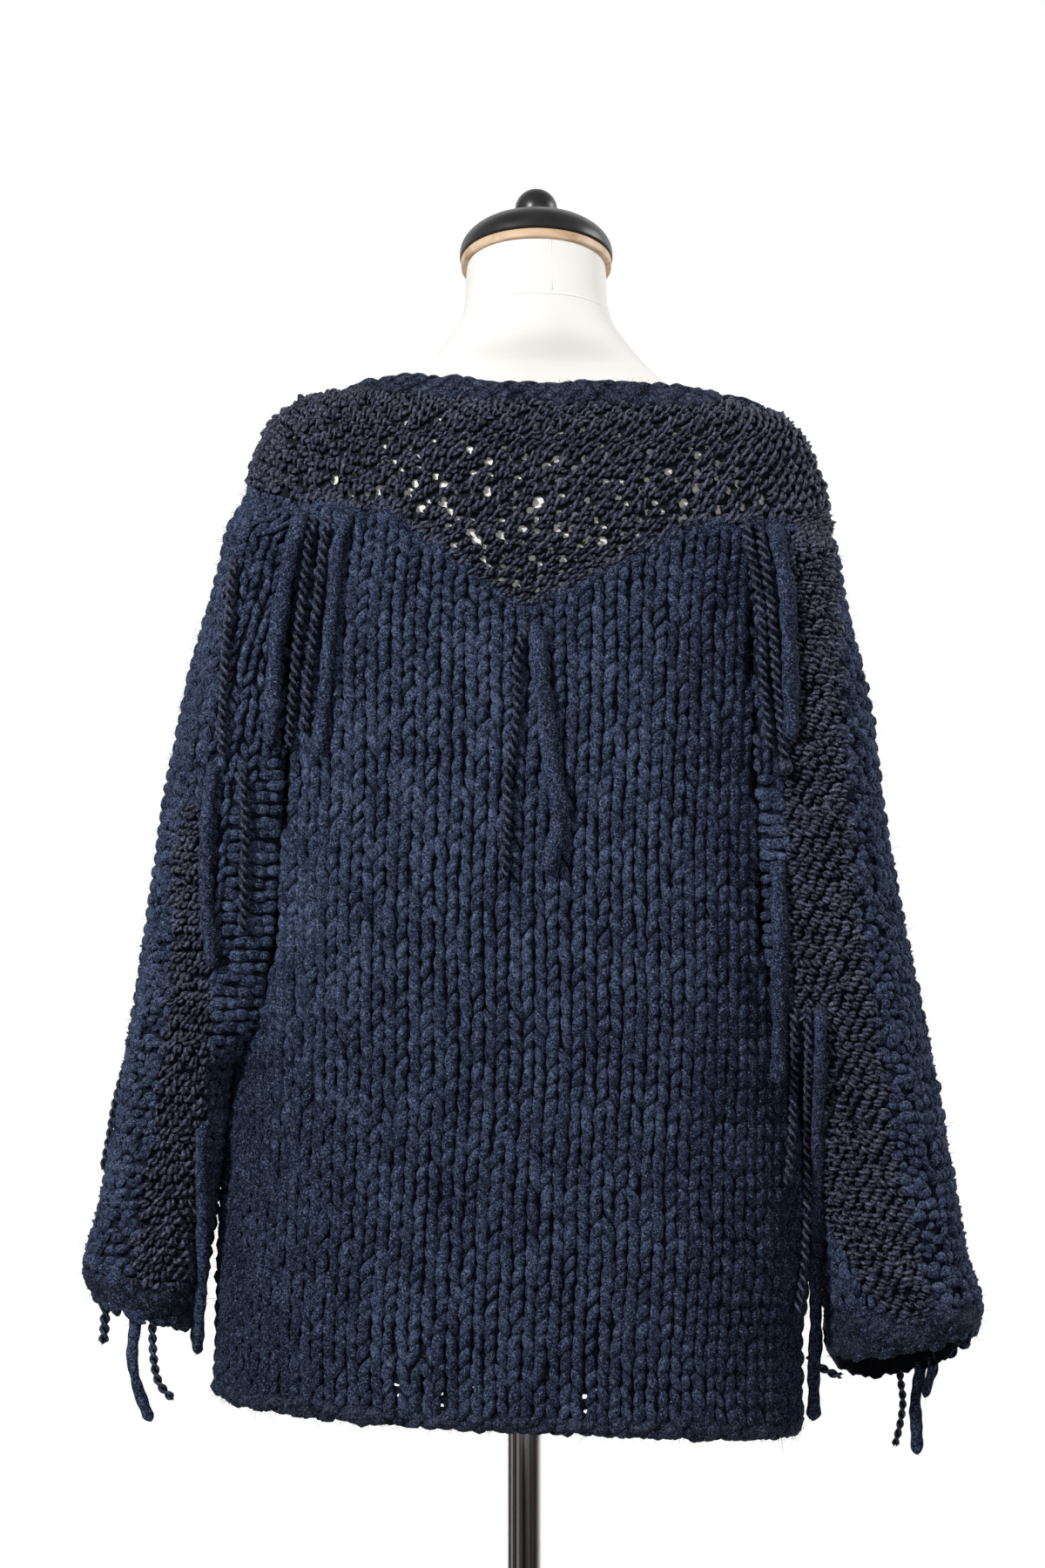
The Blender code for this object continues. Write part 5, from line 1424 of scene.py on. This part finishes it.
def ball_end(heap, at, radius):
    """The knot at the end of a cord: a small ball with plies round it."""
    rows, columns = 14, 18
    fall = np.linspace(0.02, np.pi - 0.02, rows)[:, None]
    turn = circle(columns)[None, :]
    size = radius * (1 + 0.09 * np.sin(4 * turn + 5 * fall))
    points = np.stack([size * np.sin(fall) * np.cos(turn), size * np.sin(fall) * np.sin(turn),
                       size * np.cos(fall) + 0 * turn], axis=-1) * MM + at
    heap.add(points, grid_faces(rows, columns, wrap=True),
             grid_uv(np.linspace(0, 3, columns), np.linspace(0, 2, rows)), np.full(rows * columns, 0.5))


def cuff_line(side, column, steps):
    """A strand that hangs from inside a cuff."""
    fraction = np.array(column / 18)
    edge = sleeve_points(side, np.array(CUFF_BOTTOM), fraction)
    ahead = sleeve_points(side, np.array(CUFF_BOTTOM), fraction + 0.005) - edge
    out = unit(np.array([ahead[1], -ahead[0], 0.0]))
    root = edge - (-out if side == "left" else out) * 4.0 - np.array([0, 0, 3.0])
    if side == "left":
        root = root + ahead / np.linalg.norm(ahead) * CUFF_SHIFT * np.sign(ahead[0])
    return spline(np.array([root + np.array(step) for step in ((0, 0, 9.0), *steps)]) * MM, 2.0 * MM)


def strand_pieces():
    lines = {}
    for name, strands in DRAPED_GROUPS.items():
        lines[name] = [(half, draped(half, route)) for half, route in strands]
    for name, (side, strands) in CUFF_GROUPS.items():
        lines[name] = [(half, cuff_line(side, column, steps)) for half, column, steps in strands]
    long_line = lines["ends_right_side"][-1][1]
    at = long_line[np.argmin(np.abs(long_line[:, 2] - SIDE_END_HEIGHT))]
    lines["ends_right_side"].append((TWIST - 0.3, spline(at + np.array(SIDE_END) * MM, 2.0 * MM)))
    half, heights = EDGE_END
    points = [sleeve_points("left", np.array(float(h)), np.array(0.5)) + [-half - 2.2, 0, 0] for h in heights]
    points[0] = points[0] + [4.0, 0, 4.0]
    lines["end_left_edge"] = [(half, spline(np.array(points) * MM, 2.0 * MM))]
    pieces = {}
    for name, group in lines.items():
        dark, soft = Heap(), Heap()
        for half, line in group:
            if is_twist(half):
                twisted_cord(dark, line, half)
            else:
                soft_strand(soft, line, half)
        if name == "ends_yoke_right":
            ball_end(dark, group[1][1][-1] + np.array([0, -0.001, -0.004]), 6.2)
        kinds = ((dark, "_cords", CORD), (soft, "_roving", NAVY))
        pieces[name] = [heap.build(name + ending, mat) for heap, ending, mat in kinds if heap.points]
        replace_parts(pieces[name][0], name)
    return pieces


STRANDS = strand_pieces()
# Past the ends of the neckline the band's felt runs out over the shoulders.
felt = Heap()
for end, run, inward in ((0, 17.0, 1), (1, 27.0, -1)):
    vs = np.linspace(0.8, run, 6)
    over = BODY_MAP.at(yoke_back_edges(vs)[end] + 1.5 * inward, vs, np.linspace(3.6, 2.2, 6))
    start = NECK_ENDS[end] * MM
    line = spline(np.concatenate([[start + (0.012 * inward, -0.004, 0.001)], [start], over]), 2.0 * MM)
    soft_strand(felt, line, 5.6, flat=0.85, taper=22.0)
neckband_ends = felt.build("neckband_ends", FELT)


# Stray fibres.

def hairs(name, roots, outward, lengths, width, curl, down):
    """Fine ribbons of fibre that stand out of the yarn and bend over."""
    n = len(roots)
    side = unit(np.cross(outward, random.normal(0, 1, (n, 3))))
    bend = random.normal(0, curl, (n, 3)) + np.array([0, 0, -down])
    lengths = (lengths * MM)[:, None]
    middle = roots + (outward * 0.62 + bend * 0.35) * lengths
    tip = roots + (outward * 0.9 + bend) * lengths
    half = side * (width * MM / 2)
    points = np.stack([roots - half, roots + half, middle + half * 0.8, middle - half * 0.8, tip], axis=1)
    start = (np.arange(n) * 5)[:, None]
    uv = np.tile(np.array([[0, 0], [0.2, 0], [0.2, 0.6], [0, 0.6], [0.1, 1]]), (n, 1))
    uv = uv + np.repeat(random.random((n, 2)) * 9, 5, axis=0)
    return make_mesh(name, points.reshape(-1, 3), [start + [[0, 1, 2, 3]], start + [[3, 2, 4]]], [HAIR], uv,
                     np.repeat(random.random(n), 5))


def surface_hairs(name, surface, edges, v_top, v_low, count, keep=None, lengths=(3.0, 9.0)):
    vs = v_top + (v_low - v_top) * random.random(count)
    low, high = edges(vs)
    us = low + (high - low) * random.random(count)
    if keep:
        chosen = keep(us, vs)
        us, vs = us[chosen], vs[chosen]
    n = len(us)
    normal = unit(surface.blend(surface.normals, us, vs))
    roots = surface.at(us, vs, random.random(n) * 2.2)
    outward = unit(normal + random.normal(0, 0.75, (n, 3)))
    outward = outward + normal * np.clip(0.25 - np.sum(outward * normal, axis=1), 0, None)[:, None] * 1.4
    sizes = lengths[0] + (lengths[1] - lengths[0]) * random.random(n) ** 2
    return hairs(name, roots, outward, sizes, 0.16, 0.45, 0.15)


def strand_hairs(name, count):
    roots, outward = [], []
    total = sum(len(line) for line, _, _, _ in STRAND_LINES)
    for line, half, side, out in STRAND_LINES:
        n = int(count * len(line) / total)
        at = random.integers(0, len(line), n)
        turn = random.random(n) * 2 * np.pi
        way = side[at] * np.cos(turn)[:, None] + out[at] * np.sin(turn)[:, None]
        roots.append(line[at] + way * (half[at] * 0.8 * MM)[:, None])
        outward.append(unit(way + random.normal(0, 0.6, (n, 3))))
    roots, outward = np.concatenate(roots), np.concatenate(outward)
    return hairs(name, roots, outward, 2.0 + 5.0 * random.random(len(roots)) ** 2, 0.15, 0.4, 0.3)


FIBRES = {"back": 20000, "front": 4000, "ends": 4400, "hem": 3600, "neckband": 2000, "sleeve": 8500}
FUZZ = {
    "back": surface_hairs("fuzz_back", BODY_MAP, back_edges, YOKE_RUN, HEM_V, FIBRES["back"],
                          back_keep),
    "front": surface_hairs("fuzz_front", FRONT_MAP, front_edges, YOKE_RUN, HEM_V, FIBRES["front"]),
    "ends": strand_hairs("fuzz_ends", FIBRES["ends"]),
    "hem": surface_hairs("fuzz_hem", HEM_BAND, lambda v: (v * 0, v * 0 + HEM[-1]), 2.0, hem_perimeter * 0.75,
                         FIBRES["hem"]),
    "neckband": surface_hairs("fuzz_neckband", NECK_BAND, lambda v: (v * 0, v * 0 + NECK[-1]), 0.0,
                              neck_perimeter * 0.6, FIBRES["neckband"], lengths=(2.0, 5.0)),
}
for side in SIDES:
    FUZZ[side] = surface_hairs("fuzz_sleeve_" + side, SLEEVE_MAP[side], lambda v: sleeve_edges(side, v),
                               YOKE_RUN, v_at(CUFF_BOTTOM), FIBRES["sleeve"],
                               lambda us, vs: ~in_panel(side, us, vs, 2))


# The form.

def torso_ring(line, angles):
    height, centre_x, centre_y, half_width, half_depth, lean = line
    x = half_width * signed_power(np.sin(angles), 2 / TORSO_POWER)
    y = -half_depth * signed_power(np.cos(angles), 2 / TORSO_POWER)
    return np.stack([centre_x + x, centre_y + y, height - y * math.tan(math.radians(lean))], axis=1)


def smooth_rings(rings, per_gap):
    """Rings between rings, on smooth curves along the form."""
    along = np.concatenate([[0], np.cumsum(np.linalg.norm(np.diff(rings, axis=0), axis=2).mean(axis=1))])
    slopes = np.gradient(rings, along, axis=0)
    result = []
    for i in range(len(rings) - 1):
        for t in np.arange(per_gap) / per_gap:
            span = along[i + 1] - along[i]
            result.append(hermite(rings[i], rings[i + 1], slopes[i], slopes[i + 1], span, t))
    result.append(rings[-1])
    return np.array(result)


def form_skin():
    """The torso and neck. Behind the open knit of the yoke the form lies close to the cloth."""
    angles = np.linspace(-np.pi, np.pi, 128, endpoint=False)
    rings = [torso_ring(line, angles) for line in TORSO_BODY]
    for v, side_inset in ((186, 44), (158, 34), (130, 22), (104, 12), (80, 9), (56, 9), (34, 9)):
        points = body_ring(v, angles)
        ahead = unit(np.roll(points, -1, axis=0) - np.roll(points, 1, axis=0))
        out = facing_out(unit(np.cross(ahead, points - body_ring(v + 6, angles))), points)
        inset = 3.9 + (side_inset - 3.9) * np.abs(np.sin(angles)) ** 3
        inset = np.where(np.cos(angles) < 0, np.maximum(inset, 9.0), inset)
        rings.append(points - out * inset[:, None])
    points = body_ring(0.0, angles)
    flat = unit((points - points.mean(axis=0)) * [1, 1, 0])
    rings.append(points - flat * 16.0 - [0, 0, 3.0])
    rings += [torso_ring(line, angles) for line in TORSO_NECK]
    return smooth_rings(np.array(rings), 5)


def seam_on_form(name, points, width):
    """A narrow raised seam along a line of points on the form, in millimetres."""
    line = points * MM
    out = unit((line - np.array([9 * MM, 15 * MM, 0])) * [1, 1, 0])
    side = unit(np.cross(unit(np.gradient(line, axis=0)), out))
    rings = []
    for turn in circle(6):
        rings.append(line + side * (width * math.cos(turn) * MM) + out * ((0.30 * math.sin(turn)) * MM))
    tube_mesh(name, np.array(rings).transpose(1, 0, 2), [JERSEY])


FORM_RINGS = form_skin()
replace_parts(tube_mesh("form_cover", FORM_RINGS * MM, [JERSEY], sharp=50), "form_torso")
neck_ring = FORM_RINGS[-5] * (1 - 0.22) + FORM_RINGS[-6] * 0.22
seam_on_form("neck_seam", np.concatenate([neck_ring, neck_ring[:1]]), 0.7)
seam_on_form("neck_back_seam", FORM_RINGS[-5:, 68], 0.4)


def turned(name, profile, mat, steps, location=(0, 0, 0), lean=0.0, sharp=40):
    """A profile of (radius, height) in millimetres turned round its own axis, from the top down."""
    turn = circle(steps)
    c, s = math.cos(-lean), math.sin(-lean)
    rings = []
    for radius, height in profile:
        radius = max(radius, 0.01)
        y, z = radius * np.sin(turn), np.full(steps, float(height))
        rings.append(np.stack([radius * np.cos(turn), y * c - z * s, y * s + z * c], axis=1))
    return tube_mesh(name, (np.array(rings) + np.asarray(location)) * MM, [mat], sharp=sharp)


def rounded(profile, size, steps=4):
    """The profile with its corners rounded."""
    profile = [np.array(p, float) for p in profile]
    result = [profile[0]]
    for a, b, c in zip(profile, profile[1:], profile[2:]):
        first = b + (a - b) / max(np.linalg.norm(a - b), 1e-9) * min(size, np.linalg.norm(b - a) * 0.45)
        last = b + (c - b) / max(np.linalg.norm(c - b), 1e-9) * min(size, np.linalg.norm(c - b) * 0.45)
        for t in np.linspace(0, 1, steps):
            result.append(first * (1 - t) ** 2 + 2 * b * t * (1 - t) + last * t ** 2)
    return result + [profile[-1]]


def fittings():
    lean = math.radians(18)
    axis = np.array([0, math.sin(lean), math.cos(lean)])
    disc_at = np.array([9.0, 20.0, 1516.3]) + axis * 0.3
    rim, dome, ball, cap_radius, neck_radius = 4.0, 27.3, 16.0, 57.5, 12.5
    ball_centre = rim + dome + 10.0
    dome_top = math.asin((neck_radius / cap_radius) ** (1 / 0.85))
    cap = []
    for turn in np.linspace(math.pi / 2, -math.acos(neck_radius / ball), 20):
        cap.append((ball * math.cos(turn), ball_centre + ball * math.sin(turn)))
    for turn in np.linspace(dome_top, math.pi / 2, 22):
        cap.append((cap_radius * math.sin(turn) ** 0.85, rim + dome * math.cos(turn)))
    cap += [(cap_radius, 1.0), (56.8, 0.2), (0, 0)]
    plate = []
    turn = circle(96)
    for inset, height in ((60, 706), (2.5, 706), (0.8, 706.8), (0, 708.5), (0, 713.5), (0.8, 715.2), (2.5, 716),
                          (60, 716)):
        x = (145 - inset) * signed_power(np.cos(turn), 2 / TORSO_POWER)
        y = (95 - inset) * signed_power(np.sin(turn), 2 / TORSO_POWER)
        plate.append(np.stack([x, y, np.full(96, float(height))], axis=1))
    disc = rounded(((0, 7.5), (56.5, 7.5), (56.5, 0), (0, 0)), 1.6)
    pole = rounded(((0, 705.7), (13, 705.7), (13, 14.3), (0, 14.3)), 0.8)
    foot = rounded(((0, 14), (13.3, 14), (13.3, 60), (21, 60), (24, 57), (24, 20), (30, 14), (99, 12.5),
                    (162, 8), (165, 5), (165, 0), (0, 0)), 1.2, 3)
    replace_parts(turned("neck_disc", disc, WOOD, 96, disc_at, lean), "form_neck_disc")
    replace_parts(turned("neck_cap", cap, LACQUER, 96, disc_at + axis * 7.8, lean, sharp=35), "form_cap")
    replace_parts(tube_mesh("form_bottom", np.array(plate) * MM, [WOOD], sharp=40), "form_plate")
    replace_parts(turned("pole", pole, CHROME, 72), "stand_pole")
    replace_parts(turned("foot", foot, CHROME, 128), "stand_base")


fittings()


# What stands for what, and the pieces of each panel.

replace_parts(back_cloth, "sweater_back")
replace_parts(front_cloth, "sweater_front")
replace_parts(yoke_back_cloth, "yoke_back")
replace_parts(yoke_front_cloth, "yoke_front")
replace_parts(neckband_core, "neckband")
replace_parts(hem_core, "hem_band")
for side in SIDES:
    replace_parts(SLEEVE_PIECES[side][0], "sleeve_" + side, "sleeve_%s_moss" % side)
    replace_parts(CUFFS[side], "cuff_" + side)


def declare(edges, v_top, v_low, pieces, groups=()):
    """Works out a panel's edges along the knit and gathers its pieces, but does nothing with them."""
    low, high = edges(np.linspace(v_top, v_low, 60))
    pieces = pieces + [piece for name in groups for piece in STRANDS[name]]


declare(back_edges, YOKE_RUN, HEM_V,
        [back_foot, back_stitches, hem_core, hem_strokes, FUZZ["back"], FUZZ["hem"], FUZZ["ends"]],
        ("ends_yoke_left", "ends_yoke_point", "ends_yoke_right", "end_right_crease", "ends_right_side"))
declare(front_edges, YOKE_RUN, HEM_V, [front_stitches, FUZZ["front"]])
declare(yoke_back_edges, 0.0, YOKE_RUN,
        [yoke_back_stitches, neckband_core, neckband_strokes, neckband_ends, FUZZ["neckband"]])
declare(yoke_front_edges, 0.0, YOKE_RUN, [yoke_front_stitches])
for side, groups in (("left", ("end_left_sleeve_top", "ends_left_sleeve", "end_left_inner", "end_left_edge",
                               "ends_left_cuff", "end_left_cuff_outer")), ("right", ("ends_right_cuff",))):
    cloth, knit, beads = SLEEVE_PIECES[side]
    declare(lambda v: sleeve_edges(side, v), YOKE_RUN, v_at(CUFF_BOTTOM),
            [knit, beads, CUFFS[side], FUZZ[side]], groups)


# Camera, light and floor.

# Cards round the foot of the stand, below the picture, that the pole mirrors: (from, to, grey) in degrees from
# the camera, the right side positive.
CARDS = ((-128, -108, 0.05), (-108, -96, 0.16), (-96, -82, 0.55), (-82, -66, 0.10), (-66, -52, 0.03),
         (-52, -34, 0.30), (-34, -12, 0.07), (-12, 6, 0.015), (6, 22, 0.05), (22, 34, 0.12), (34, 64, 0.06),
         (64, 84, 0.03), (84, 98, 0.10), (98, 112, 0.30), (112, 128, 0.8))
CARD_RADIUS = 0.9
CARD_HEIGHTS = (0.08, 0.66)
FLOOR_RADIUS = 1.4
FLOOR_HEIGHT = -0.0005
SENSOR_MM = 36.0
LENS_MM = 92.3


def camera():
    data = bpy.data.cameras.new("camera")
    data.sensor_fit = "VERTICAL"
    data.sensor_height = SENSOR_MM
    data.lens = LENS_MM
    obj = bpy.data.objects.new("camera", data)
    obj.location = CAMERA
    obj.rotation_euler = (math.pi / 2, 0, 0)
    bpy.context.scene.collection.objects.link(obj)
    bpy.context.scene.camera = obj


def area_light(name, location, aim, size, power):
    data = bpy.data.lights.new(name, "AREA")
    data.shape = "RECTANGLE"
    data.size, data.size_y = size, size
    data.energy = power
    obj = bpy.data.objects.new(name, data)
    obj.location = location
    obj.rotation_euler = (Vector(aim) - Vector(location)).to_track_quat("-Z", "Y").to_euler()
    bpy.context.scene.collection.objects.link(obj)


def pole_cards():
    made = Shader("grey_cards", Roughness=1.0, Specular_IOR_Level=0.0)
    colour = made.ramp(made.tone(), (0.0, 0), (0.5, (0.54, 0.47, 0.45)), (1.0, 1))
    made.feed(made.surface, {"Base Color": colour})
    points, faces, tones = [], [], []
    for first, last, grey in CARDS:
        turn = np.radians(np.linspace(first, last, 5))
        for height in CARD_HEIGHTS:
            x, y = CARD_RADIUS * np.sin(turn), -CARD_RADIUS * np.cos(turn)
            points.append(np.stack([x, y, np.full(5, height)], axis=1))
        start = len(tones) * 10
        faces += [[start + i, start + i + 1, start + i + 6, start + i + 5] for i in range(4)]
        tones.append(grey)
    make_mesh("grey_cards", np.concatenate(points), [np.array(faces)], [made.mat], tone=np.repeat(tones, 10),
              smooth=False, stage=True)


def studio():
    world = bpy.data.worlds.new("studio")
    bpy.context.scene.world = world
    world.use_nodes = True
    around = world.node_tree.nodes["Background"]
    around.inputs["Color"].default_value = (1, 1, 1, 1)
    around.inputs["Strength"].default_value = 0.30
    paper = clouded("floor_paper", 2.0, (0.3, 0.80), (0.7, 0.84), Roughness=0.9).mat
    turn = circle(64)
    ring = np.stack([FLOOR_RADIUS * np.cos(turn), FLOOR_RADIUS * np.sin(turn), np.full(64, FLOOR_HEIGHT)],
                    axis=1)
    faces = np.array([[i, (i + 1) % 64, 64] for i in range(64)])
    make_mesh("floor", np.concatenate([ring, [[0, 0, FLOOR_HEIGHT]]]), [faces], [paper], stage=True)
    white = Shader("white_backdrop", Base_Color=(0, 0, 0, 1), Emission_Color=(1, 1, 1, 1),
                   Emission_Strength=1.02).mat
    corners = np.array([[-16, 10, -12.5], [16, 10, -12.5], [16, 10, 14.5], [-16, 10, 14.5]])
    make_mesh("backdrop", corners, [np.array([[0, 1, 2, 3]])], [white], stage=True)
    pole_cards()
    area_light("key", (-2.0, -2.7, 2.75), (0, 0, 1.1), 0.36, 125)
    area_light("fill", (0.9, -3.3, 1.6), (0, 0, 1.0), 1.4, 16)
    area_light("side", (1.8, 0.25, 2.0), (0, 0, 1.48), 0.9, 22)
    bpy.context.scene.view_settings.view_transform = "Standard"


camera()
studio()
